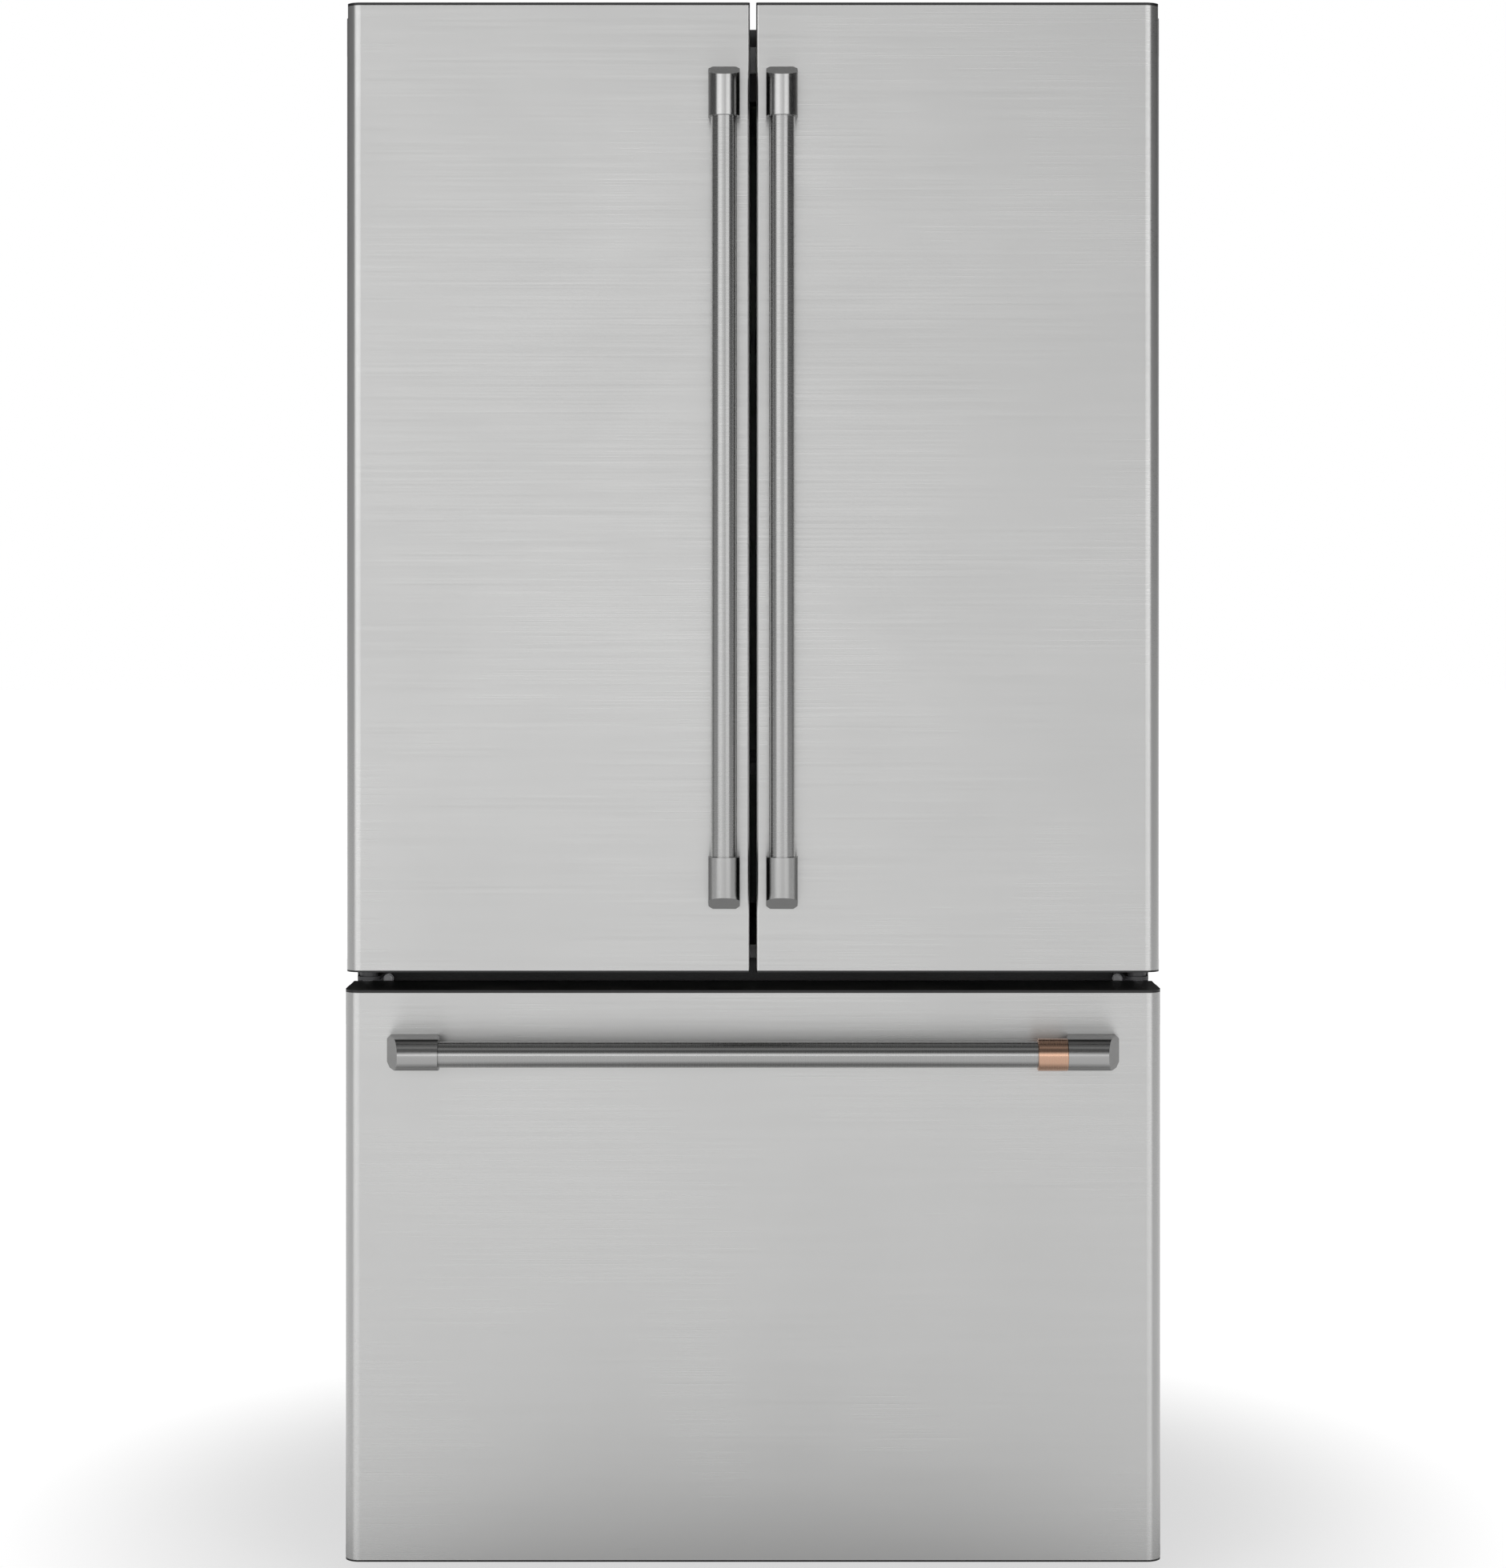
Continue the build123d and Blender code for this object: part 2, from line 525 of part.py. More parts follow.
def fan_rotor(point, direction, radius, name):
    """Hub with five pitched blades, bored for its spindle."""
    base = Plane(origin=point, z_dir=direction)
    with BuildPart() as rotor:
        with BuildSketch(base) as hub:
            Circle(14)
        extrude(hub.sketch, amount=22)
        with BuildSketch(base.offset(4)) as blades:
            with PolarLocations(0, 5):
                with Locations((radius / 2, 0)):
                    RectangleRounded(radius - 2, 16, 6)
        extrude(blades.sketch, amount=3)
        with BuildSketch(base) as bore:
            Circle(SPINDLE + PIN_FIT)
        extrude(bore.sketch, amount=22, mode=Mode.SUBTRACT)
    save(rotor, name)


def machine_space():
    floor = PAN_HEIGHT + LINER
    middle = (MACHINE_FRONT + CASE_BACK) / 2
    with BuildPart() as compressor:
        with BuildSketch(Plane.XY.offset(floor + 14)) as plan:
            with Locations((-COMPRESSOR_X, middle)):
                Ellipse(95, 75)
        extrude(plan.sketch, amount=150)
        fillet(compressor.edges().group_by(Axis.Z)[-1], 40)
        slab((-COMPRESSOR_X - 110, -COMPRESSOR_X + 110), (middle - 60, middle + 60),
             (floor + 12, floor + 16))
        with BuildSketch(Plane.XY.offset(floor)) as feet:
            with Locations((-COMPRESSOR_X, middle)):
                with GridLocations(180, 90, 2, 2):
                    Circle(12)
        extrude(feet.sketch, amount=12)
    save(compressor, "compressor")
    with BuildPart() as coil:
        for x in (CONDENSER_X, CONDENSER_X + 160):
            slab((x, x + 3), (middle - 80, middle + 80), (floor, floor + 190))
        with BuildSketch(Plane.YZ.offset(CONDENSER_X)) as rows:
            with Locations((middle, floor + 100)):
                with GridLocations(28, 28, 5, 6):
                    Circle(5)
        extrude(rows.sketch, amount=160)
    save(coil, "condenser_coil")
    fan_x = CONDENSER_X - 60
    with BuildPart() as motors:
        rod((0, CAVITY_BACK, FAN_Z), (0, -1, 0), 20, 50)
        rod((0, CAVITY_BACK, FAN_Z), (0, -1, 0), SPINDLE, 70)
        slab((fan_x - 60, fan_x - 30), (middle - 25, middle + 25), (floor, floor + 6))
        slab((fan_x - 52, fan_x - 40), (middle - 12, middle + 12), (floor, floor + 100))
        rod((fan_x - 60, middle, floor + 100), (1, 0, 0), 24, 40)
        rod((fan_x - 60, middle, floor + 100), (1, 0, 0), SPINDLE, 62)
    save(motors, "fan_motors")
    fan_rotor((fan_x - 19, middle, floor + 100), (1, 0, 0), 75, "condenser_fan")


# ---- doors ---------------------------------------------------------------------------
def handle(base, length, name):
    """Two bevelled end posts and the bar between them.

    base has its origin on the door face at the middle of the handle, its x across the
    handle, its y into the door and its z along the handle.
    """
    axis = HANDLE_REACH - HANDLE_CAP_RADIUS
    side = Plane(origin=base.origin, x_dir=base.z_dir, z_dir=base.x_dir)
    foot = HANDLE_CAP_LENGTH + HANDLE_BEVEL
    with BuildPart() as ends:
        for way in (-1, 1):
            tip = way * length / 2
            with BuildSketch(side) as profile:
                with BuildLine():
                    Polyline(
                        (tip, 0),
                        (tip, HANDLE_POST_CHAMFER),
                        (tip - way * HANDLE_BEVEL, HANDLE_REACH),
                        (tip - way * foot, HANDLE_REACH),
                        (tip - way * foot, axis - HANDLE_BAR_RADIUS),
                        (tip - way * (foot - HANDLE_TAPER), 0),
                        close=True,
                    )
                make_face()
            extrude(profile.sketch, amount=HANDLE_CAP_RADIUS, both=True)
        with BuildSketch(base.offset(-length / 2)) as section:
            with Locations((0, -axis)):
                Circle(HANDLE_CAP_RADIUS)
            with Locations((0, -axis / 2)):
                Rectangle(2 * HANDLE_CAP_RADIUS, axis)
        extrude(section.sketch, amount=length, mode=Mode.INTERSECT)
        face = Plane(origin=base.origin, x_dir=base.z_dir, z_dir=-base.y_dir)
        with BuildSketch(face) as plan:
            Rectangle(length, 2 * HANDLE_CAP_RADIUS)
            chamfer(plan.vertices(), HANDLE_CORNER)
        extrude(plan.sketch, amount=HANDLE_REACH, mode=Mode.INTERSECT)
    save(ends, f"{name}_handle_ends")
    with BuildPart() as bar:
        with BuildSketch(base.offset(foot - length / 2)) as circle:
            with Locations((0, -axis)):
                Circle(HANDLE_BAR_RADIUS)
        extrude(circle.sketch, amount=length - 2 * foot)
    save(bar, f"{name}_handle_bar")


def front_panel(name, x, z, radii, ridge, tabs, bores):
    """Steel skin, foam and plastic end caps of a door or of the drawer front.

    ridge tells whether the top steps down behind its front edge, to pass under a hinge
    leaf; tabs lists the sides that carry end cap tabs; bores are the hinge pins' places.
    """
    bottom, top = z
    shoulder = SHOULDER if ridge else top - CAP_LIP + CAP_PLATE
    skin_low = bottom + CAP_PLATE
    skin_high = shoulder - CAP_PLATE
    outer = panel_outline(x, 0, *radii)
    inner = panel_outline(x, SHEET, *radii)
    back = (DOOR_BACK - SHEET, DOOR_BACK)
    opening = (x[0] + BACK_RETURN, x[1] - BACK_RETURN)
    with BuildPart() as skin:
        front_high = top - CAP_LIP
        extrude(Pos(0, 0, skin_low) * outer, amount=front_high - skin_low)
        extrude(Pos(0, 0, skin_low) * inner, amount=front_high - skin_low, mode=Mode.SUBTRACT)
        slab(opening, back, (skin_low, front_high), Mode.SUBTRACT)
        if ridge:
            slab((x[0], x[1]), (DOOR_FRONT + RIDGE_DEPTH, DOOR_BACK), (skin_high, front_high),
                 Mode.SUBTRACT)
    save(skin, f"{name}_skin")

    with BuildPart() as foam:
        low = skin_low + CAP_PLUG
        high = skin_high - CAP_PLUG
        extrude(Pos(0, 0, low) * inner, amount=high - low)
        slab(opening, (DOOR_BACK - LINER, DOOR_BACK), (low, high), Mode.SUBTRACT)
    save(foam, f"{name}_foam")

    with BuildPart() as caps:
        extrude(Pos(0, 0, bottom) * outer, amount=CAP_PLATE)
        extrude(Pos(0, 0, skin_low) * inner, amount=CAP_PLUG)
        extrude(Pos(0, 0, skin_high - CAP_PLUG) * inner, amount=CAP_PLUG)
        extrude(Pos(0, 0, skin_high) * outer, amount=shoulder - skin_high)
        if ridge:
            slab(x, (DOOR_FRONT, DOOR_FRONT + RIDGE_DEPTH), (skin_high, shoulder), Mode.SUBTRACT)
            with BuildSketch(Plane.XY.offset(skin_high)) as behind_skin:
                add(inner)
                with Locations(((x[0] + x[1]) / 2, DOOR_FRONT + RIDGE_DEPTH + DOOR_THICKNESS / 2)):
                    Rectangle(x[1] - x[0], DOOR_THICKNESS, mode=Mode.SUBTRACT)
            extrude(behind_skin.sketch, amount=top - CAP_LIP - skin_high)
            with BuildSketch(Plane.XY.offset(top - CAP_LIP)) as lip:
                add(outer)
                with Locations(((x[0] + x[1]) / 2, DOOR_FRONT + RIDGE_DEPTH + DOOR_THICKNESS / 2)):
                    Rectangle(x[1] - x[0], DOOR_THICKNESS, mode=Mode.SUBTRACT)
            extrude(lip.sketch, amount=CAP_LIP)
        else:
            extrude(Pos(0, 0, shoulder) * outer, amount=top - shoulder)
        for side in tabs:
            edge = abs(x[0] if side < 0 else x[1])
            tab_y = (DOOR_FRONT + HINGE_SETBACK - 12, DOOR_FRONT + HINGE_SETBACK + 26)
            tab = span(side, edge, edge + CAP_TAB)
            slab(tab, tab_y, (shoulder - TAB_HEIGHT, shoulder))
            slab(tab, tab_y, (bottom, bottom + CAP_PLUG))
        for bore in bores:
            hole = PIN_RADIUS + PIN_FIT
            rod((bore, HINGE_Y, bottom), (0, 0, 1), hole, PIN_DEPTH + CLEAR, Mode.SUBTRACT)
            rod((bore, HINGE_Y, shoulder), (0, 0, -1), hole, PIN_DEPTH + CLEAR, Mode.SUBTRACT)
    save(caps, f"{name}_end_caps")


def inner_panel(name, x, z, dike_x, dike_z, gasket_x):
    """Moulded inner liner with its raised dike, and the gasket round it."""
    opening = (x[0] + BACK_RETURN, x[1] - BACK_RETURN)
    with BuildPart() as liner:
        slab(opening, (DOOR_BACK - LINER, DOOR_BACK),
             (z[0] + CAP_PLATE + CAP_PLUG, z[1]))
        slab(dike_x, (DOOR_BACK, DIKE_BACK), dike_z)
        edges = liner.faces().sort_by(Axis.Y)[-1].edges()
        fillet(edges, 6)
        hollow = (dike_x[0] + DIKE_WIDTH, dike_x[1] - DIKE_WIDTH)
        slab(hollow, (DOOR_BACK, DIKE_BACK), (dike_z[0] + DIKE_WIDTH, dike_z[1] - DIKE_WIDTH),
             Mode.SUBTRACT)
    save(liner, f"{name}_liner")
    seal_z = (z[0] + GASKET_INSET, z[1] - GASKET_INSET)
    with BuildPart() as gasket:
        slab(gasket_x, (DOOR_BACK, CASE_FRONT - CLEAR), seal_z)
        slab((gasket_x[0] + GASKET, gasket_x[1] - GASKET), (DOOR_BACK, CASE_FRONT - CLEAR),
             (seal_z[0] + GASKET, seal_z[1] - GASKET), Mode.SUBTRACT)
    save(gasket, f"{name}_gasket")


def door_bins(name, dike_x):
    """Three open bins held between the sides of the dike."""
    inside = (dike_x[0] + DIKE_WIDTH, dike_x[1] - DIKE_WIDTH)
    floors = [DOOR_BOTTOM + BIN_START + number * BIN_PITCH for number in range(BIN_COUNT)]
    with BuildPart() as bins:
        for low in floors:
            slab(inside, (DOOR_BACK, DOOR_BACK + BIN_DEPTH), (low, low + BIN_HEIGHT))
        fillet(bins.edges().filter_by(Axis.Z).group_by(Axis.Y)[-1], 4 * BIN_WALL)
        for low in floors:
            slab((inside[0] + BIN_WALL, inside[1] - BIN_WALL),
                 (DOOR_BACK + BIN_WALL, DOOR_BACK + BIN_DEPTH - BIN_WALL),
                 (low + BIN_WALL, low + BIN_HEIGHT), Mode.SUBTRACT)
    save(bins, f"{name}_bins")


def door(side, word):
    name = f"{word}_door"
    x = span(side, DOOR_GAP / 2, DOOR_PAIR_WIDTH / 2)
    radii = (OUTER_RADIUS, INNER_RADIUS) if side < 0 else (INNER_RADIUS, OUTER_RADIUS)
    front_panel(name, x, (DOOR_BOTTOM, DOOR_TOP), radii, True, (side,), (side * HINGE_X,))
    dike_x = span(side, DIKE_CENTRE, DIKE_OUTER)
    shoulder = SHOULDER - CAP_PLATE - CAP_PLUG
    # the gasket stays inside the hinge pin, so that it leaves the case as the door turns
    gasket_x = span(side, DOOR_GAP / 2 + GASKET_INSET, HINGE_X - CLEAR)
    inner_panel(name, x, (DOOR_BOTTOM, shoulder), dike_x, (DIKE_LOW, DIKE_HIGH), gasket_x)
    door_bins(name, dike_x)
    middle = DOOR_BOTTOM + DOOR_HANDLE_BASE + DOOR_HANDLE_LENGTH / 2
    base = Plane(origin=(side * DOOR_HANDLE_INSET, DOOR_FRONT, middle), x_dir=(1, 0, 0),
                 z_dir=(0, 0, 1))
    handle(base, DOOR_HANDLE_LENGTH, name)


def flipper():
    """Sealing bar on the left door's inner edge, folded back, and the arms that carry it."""
    pivot = (FLIPPER_X, FLIPPER_Y)
    thick = FLIPPER_THICK / 2
    with BuildPart() as bar:
        slab((pivot[0] - thick, pivot[0] + thick), (pivot[1] - FLIPPER_PIVOT_EDGE, FLIPPER_BACK),
             (FLIPPER_LOW, FLIPPER_HIGH))
        fillet(bar.edges().filter_by(Axis.Z), 3)
        for z, way in ((FLIPPER_LOW, 1), (FLIPPER_HIGH, -1)):
            rod((*pivot, z), (0, 0, way), FLIPPER_PIN + PIN_FIT, 14, Mode.SUBTRACT)
    save(bar, "flipper_bar")
    with BuildPart() as arms:
        for z, way in ((FLIPPER_LOW - CLEAR, 1), (FLIPPER_HIGH + CLEAR, -1)):
            plate = tuple(sorted((z, z - way * 4)))
            slab((-DIKE_CENTRE, pivot[0] + 5), (pivot[1] - 5, DIKE_BACK), plate)
            rod((*pivot, z - way * 4), (0, 0, way), FLIPPER_PIN, 17)
    save(arms, "flipper_arms")


# ---- freezer drawer ------------------------------------------------------------------
def drawer():
    name = "freezer_drawer"
    half = DRAWER_WIDTH / 2
    x = (-half, half)
    front_panel(name, x, (DRAWER_BOTTOM, DRAWER_TOP), (OUTER_RADIUS, OUTER_RADIUS), False,
                (-1, 1), ())
    dike_half = CAVITY_HALF - DIKE_WIDTH
    inner_panel(name, x, (DRAWER_BOTTOM, DRAWER_TOP - CAP_LIP - CAP_PLUG),
                (-dike_half, dike_half), (FREEZER_FLOOR + DIKE_END, FREEZER_CEILING - DIKE_END),
                (-half + HINGE_INSET, half - HINGE_INSET))
    axis = HANDLE_REACH - HANDLE_CAP_RADIUS
    base = Plane(origin=(0, DOOR_FRONT, DRAWER_TOP - DRAWER_HANDLE_DROP), x_dir=(0, 0, -1),
                 z_dir=(1, 0, 0))
    handle(base, DRAWER_HANDLE_LENGTH, name)
    end = DRAWER_HANDLE_LENGTH / 2 - HANDLE_CAP_LENGTH - HANDLE_BEVEL
    with BuildPart() as ring:
        with BuildSketch(base.offset(end - RING_LENGTH)) as section:
            with Locations((0, -axis)):
                Circle(HANDLE_CAP_RADIUS + RING_STEP)
                Circle(HANDLE_BAR_RADIUS, mode=Mode.SUBTRACT)
        extrude(section.sketch, amount=RING_LENGTH)
        outer_edges = ring.edges().filter_by(GeomType.CIRCLE).group_by(SortBy.RADIUS)[-1]
        fillet(outer_edges, 1)
    save(ring, "handle_ring")


def drawer_runners():
    """Three-part telescopic runners: fixed, middle and drawer members on both sides."""
    members = (("fixed_runners", 0, RAIL_FRONT), ("middle_runners", 1, RAIL_FRONT),
               ("drawer_runners", 2, DIKE_BACK))
    for name, step, front in members:
        far = CAVITY_HALF - step * (RAIL_THICK + RAIL_SLACK)
        with BuildPart() as runner:
            for side in (-1, 1):
                slab(span(side, far - RAIL_THICK, far), (front, RAIL_BACK),
                     (RAIL_Z + 3 * step, RAIL_Z + RAIL_HEIGHT - 3 * step))
        save(runner, name)
    half = CAVITY_HALF - 3 * RAIL_THICK - 2 * RAIL_SLACK
    front = RAIL_FRONT + RAIL_FRONT_GAP
    back = LOWER_BACK - BASKET_BACK_GAP
    floor = FREEZER_FLOOR + BASKET_LIFT
    rim = RAIL_Z + RAIL_HEIGHT + BASKET_RIM
    with BuildPart() as basket:
        slab((-half, half), (front, back), (floor, rim))
        fillet(basket.faces().sort_by(Axis.Z)[0].edges(), 10)
        slab((-half + BIN_WALL, half - BIN_WALL), (front + BIN_WALL, back - BIN_WALL),
             (floor + BIN_WALL, rim), Mode.SUBTRACT)
    save(basket, "freezer_basket")


cabinet_case()
back_panel()
base_pan()
insulation()
fresh_food_liner()
freezer_liner()
partition_rail()
toe_grille()
for side, word in ((-1, "left"), (1, "right")):
    door(side, word)
top_hinges()
centre_hinges()
hinge_covers()
levelling_legs()
rollers()
shelves()
crispers()
air_duct()
ceiling_fittings()
evaporator()
machine_space()
flipper()
drawer()
drawer_runners()
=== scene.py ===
from math import cos, pi, radians, sin

import bmesh
import bpy
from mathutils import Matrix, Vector


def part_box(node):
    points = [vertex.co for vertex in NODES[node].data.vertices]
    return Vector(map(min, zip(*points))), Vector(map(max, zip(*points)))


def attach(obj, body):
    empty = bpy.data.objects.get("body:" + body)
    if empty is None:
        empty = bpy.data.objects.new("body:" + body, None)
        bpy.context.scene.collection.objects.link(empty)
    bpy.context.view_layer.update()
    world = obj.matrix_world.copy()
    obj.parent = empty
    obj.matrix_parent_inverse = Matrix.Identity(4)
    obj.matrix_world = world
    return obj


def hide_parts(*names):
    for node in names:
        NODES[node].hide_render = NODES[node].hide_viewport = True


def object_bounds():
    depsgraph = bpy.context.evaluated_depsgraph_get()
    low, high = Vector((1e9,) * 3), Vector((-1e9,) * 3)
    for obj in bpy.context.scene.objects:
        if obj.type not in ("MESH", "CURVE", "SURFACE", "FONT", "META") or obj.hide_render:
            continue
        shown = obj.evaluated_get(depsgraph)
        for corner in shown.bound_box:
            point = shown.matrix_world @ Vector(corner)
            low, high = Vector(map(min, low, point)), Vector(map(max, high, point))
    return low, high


bl_info = {
    "name": "French door refrigerator",
    "version": (1, 0, 0),
    "blender": (4, 5, 0),
    "location": "View3D > Sidebar > Refrigerator",
    "description": "Finishes and fine pieces of a french door refrigerator on its packed frame",
    "category": "Object",
}

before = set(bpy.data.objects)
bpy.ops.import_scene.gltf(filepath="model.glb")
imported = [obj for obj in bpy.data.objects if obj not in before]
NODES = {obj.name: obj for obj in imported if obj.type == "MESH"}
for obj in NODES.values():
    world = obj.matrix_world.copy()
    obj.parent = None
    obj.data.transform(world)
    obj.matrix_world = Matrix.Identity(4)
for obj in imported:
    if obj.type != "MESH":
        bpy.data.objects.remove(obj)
CAD_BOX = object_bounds()
DOORS = ("left_door", "right_door")
PANELS = DOORS + ("freezer_drawer",)

# the picture's shape and the camera's film
PICTURE_WIDTH = 1882
PICTURE_HEIGHT = 1960
SENSOR_WIDTH = 36.0
CAMERA_REACH = 100

# shelf tracks and their slots, in metres
TRACK_WIDTH = 0.016
DUCT_TO_TRACK = 0.020
SLOT_WIDTH = 0.005
SLOT_HEIGHT = 0.014
SLOT_PITCH = 0.025
SLOT_PROUD = 0.0003
SLOT_STEPS = 8

# seals round the doors and the drawer, in metres
SEAL_WIDTH = 0.012
SEAL_SOFTENING = 0.001
SEAL_FOOT = 0.002
SEAL_FOLD = 0.0025

# screws of the centre hinges, in metres: along the leaf, and below the middle of the gap
SCREW_PLACES = (0.010, 0.034)
SCREW_DROP = 0.0085
LEAF_SETBACK = 0.004
FLANGE_HEIGHT = 0.0012
HEAD_HEIGHT = 0.004

# door bins: the bead along the rim, in metres, and its faces
RIM_RADIUS = 0.0025
RIM_CORNER = 0.012
RIM_INSET = 0.002
RIM_SIDES = 12
CORNER_STEPS = 6
# gaps between a bin's top and the next bin's lowest corner, and the least height of a top
BIN_GAP_LEAST = 0.02
BIN_GAP_MOST = 0.125
BIN_RISE = 0.1

# the grain of drawn steel, per metre along x, y and z, lies across each handle
SHEET_GRAIN = (4.0, 700, 1500)
UPRIGHT_GRAIN = (8, 8, 2600)
LEVEL_GRAIN = (2600, 8, 8)
END_GRAIN = (700, 700, 700)
UPRIGHT = (0, 0, 1)
LEVEL = (1, 0, 0)
# the handles' steel is the fronts' steel painted darker: painted shade for the dark room it reflects
HANDLE_PAINTED_SHADE = 0.68
# how dark the handles' ends are painted where turned from the front: painted shade
TURNED_PAINTED_SHADE = 0.20

# studio: bands of light as degrees from the middle to the right, softness and brightness
LIGHT_BANDS = ((-46, -16, 6, 0.80), (16, 46, 6, 1.05), (-180, -62, 8, 0.14), (125, 180, 10, 0.28),
               (52, 125, 8, 0.03))
WALL_BAND = (-56, 50, 6)
WALL_LEFT = 1.74
WALL_RIGHT = 1.20
CEILING_GLOW = 0.5
SHADE_BEHIND = 0.85
FLOOR_HALF = 40
FLOOR_COLOUR = 0.80
# the floor's colour as the steel sees it, darker: a painted reflection
FLOOR_SEEN_IN_STEEL = 0.10
OVERHEAD_SIZE = (3.0, 0.9)
OVERHEAD_POWER = 2


# ---- settings ------------------------------------------------------------------------
class FinishSettings(bpy.types.PropertyGroup):
    """Colours and finishes that a user would change."""

    steel: bpy.props.FloatVectorProperty(
        name="Steel", description="Tint of the brushed steel", subtype="COLOR", size=3,
        min=0, max=1, default=(0.60, 0.60, 0.595))
    steel_roughness: bpy.props.FloatProperty(
        name="Steel roughness", description="How matt the brushed steel is", subtype="FACTOR",
        min=0, max=1, default=0.30)
    ring: bpy.props.FloatVectorProperty(
        name="Handle ring", description="Tint of the plated ring on the drawer handle",
        subtype="COLOR", size=3, min=0, max=1, default=(0.62, 0.39, 0.28))
    case: bpy.props.FloatVectorProperty(
        name="Cabinet paint", description="Colour of the cabinet's sides and top",
        subtype="COLOR", size=3, min=0, max=1, default=(0.085, 0.085, 0.09))
    liner: bpy.props.FloatVectorProperty(
        name="Liner", description="Colour of the moulded compartments", subtype="COLOR",
        size=3, min=0, max=1, default=(0.87, 0.88, 0.89))


class DetailSettings(bpy.types.PropertyGroup):
    """Sizes of the fine pieces."""

    gasket_lip: bpy.props.FloatProperty(
        name="Gasket lip", description="Thickness of the seal's magnetic lip", unit="LENGTH",
        min=0.001, max=0.01, default=0.004)
    edge_break: bpy.props.FloatProperty(
        name="Edge break", description="Width of the broken edges on handles and mouldings",
        unit="LENGTH", min=0.0, max=0.003, default=0.0008)
    screw_head: bpy.props.FloatProperty(
        name="Hinge screw head", description="Width of the hinge screws across their flats",
        unit="LENGTH", min=0.004, max=0.016, default=0.010)


class StageSettings(bpy.types.PropertyGroup):
    """Camera and floor."""

    distance: bpy.props.FloatProperty(
        name="Camera distance", description="From the door fronts to the camera",
        unit="LENGTH", min=1, max=20, default=3.85)
    height: bpy.props.FloatProperty(
        name="Camera height", description="Eye height above the floor", unit="LENGTH",
        min=0, max=3, default=1.095)
    lens: bpy.props.FloatProperty(
        name="Lens", description="Focal length", subtype="DISTANCE_CAMERA", min=10, max=300,
        default=82.6)
    margin: bpy.props.FloatProperty(
        name="Top margin", description="Free space above the doors in the picture",
        unit="LENGTH", min=0, max=1, default=0.0027)


# ---- shader helpers ------------------------------------------------------------------
def place(tree, kind, **values):
    """Add a node, setting its properties and, by socket name, its inputs."""
    node = tree.nodes.new(kind)
    for key, value in values.items():
        if hasattr(node, key):
            setattr(node, key, value)
        else:
            node.inputs[key.replace("_", " ")].default_value = value
    return node


def maths(tree, operation, first, second=0.0, clamp=False):
    """A Math node fed with sockets or numbers; its output socket is returned."""
    node = tree.nodes.new("ShaderNodeMath")
    node.operation = operation
    node.use_clamp = clamp
    for socket, value in zip(node.inputs, (first, second)):
        if isinstance(value, bpy.types.NodeSocket):
            tree.links.new(value, socket)
        else:
            socket.default_value = value
    return node.outputs[0]


def ramp(tree, value, low, high, start, end):
    """Map a value smoothly from one range to another."""
    node = place(tree, "ShaderNodeMapRange", interpolation_type="SMOOTHSTEP")
    tree.links.new(value, node.inputs["Value"])
    for name, number in zip(("From Min", "From Max", "To Min", "To Max"), (low, high, start, end)):
        node.inputs[name].default_value = number
    return node.outputs["Result"]


def new_group(name, inputs, outputs):
    """An empty shader node group with float, vector or colour sockets."""
    group = bpy.data.node_groups.new(name, "ShaderNodeTree")
    for label, kind, default in inputs:
        socket = group.interface.new_socket(label, in_out="INPUT", socket_type=kind)
        if default is not None:
            socket.default_value = default
    for label, kind in outputs:
        group.interface.new_socket(label, in_out="OUTPUT", socket_type=kind)
    return group, group.nodes.new("NodeGroupInput"), group.nodes.new("NodeGroupOutput")


def grain_group():
    """Fine drawn lines: noise stretched by a different scale along each axis."""
    group, given, out = new_group(
        "drawn_grain",
        [("Vector", "NodeSocketVector", None), ("Stretch", "NodeSocketVector", (1, 1, 1)),
         ("Depth", "NodeSocketFloat", 0.1)],
        [("Grain", "NodeSocketFloat"), ("Normal", "NodeSocketVector")])
    scaled = place(group, "ShaderNodeVectorMath", operation="MULTIPLY")
    group.links.new(given.outputs["Vector"], scaled.inputs[0])
    group.links.new(given.outputs["Stretch"], scaled.inputs[1])
    noise = place(group, "ShaderNodeTexNoise", Scale=1.0, Detail=4.0, Roughness=0.7)
    group.links.new(scaled.outputs[0], noise.inputs["Vector"])
    bump = place(group, "ShaderNodeBump", Distance=0.0002)
    group.links.new(given.outputs["Depth"], bump.inputs["Strength"])
    group.links.new(noise.outputs["Fac"], bump.inputs["Height"])
    group.links.new(noise.outputs["Fac"], out.inputs["Grain"])
    group.links.new(bump.outputs["Normal"], out.inputs["Normal"])
    return group


def mottle_group():
    """Broad soft unevenness, as of wiping and handling, from 0 to 1."""
    group, given, out = new_group(
        "mottle",
        [("Vector", "NodeSocketVector", None), ("Size", "NodeSocketFloat", 3.0)],
        [("Mottle", "NodeSocketFloat")])
    noise = place(group, "ShaderNodeTexNoise", Detail=3.0, Roughness=0.55, Distortion=0.6)
    group.links.new(given.outputs["Vector"], noise.inputs["Vector"])
    group.links.new(given.outputs["Size"], noise.inputs["Scale"])
    group.links.new(ramp(group, noise.outputs["Fac"], 0.3, 0.7, 0.0, 1.0), out.inputs["Mottle"])
    return group


def pebble_group():
    """The fine pebbled skin of powder paint and moulded plastic."""
    group, given, out = new_group(
        "pebble",
        [("Vector", "NodeSocketVector", None), ("Size", "NodeSocketFloat", 700.0),
         ("Depth", "NodeSocketFloat", 0.2)],
        [("Height", "NodeSocketFloat"), ("Normal", "NodeSocketVector")])
    cells = place(group, "ShaderNodeTexVoronoi", feature="SMOOTH_F1")
    group.links.new(given.outputs["Vector"], cells.inputs["Vector"])
    group.links.new(given.outputs["Size"], cells.inputs["Scale"])
    bump = place(group, "ShaderNodeBump", Distance=0.0003)
    group.links.new(given.outputs["Depth"], bump.inputs["Strength"])
    group.links.new(cells.outputs["Distance"], bump.inputs["Height"])
    group.links.new(cells.outputs["Distance"], out.inputs["Height"])
    group.links.new(bump.outputs["Normal"], out.inputs["Normal"])
    return group


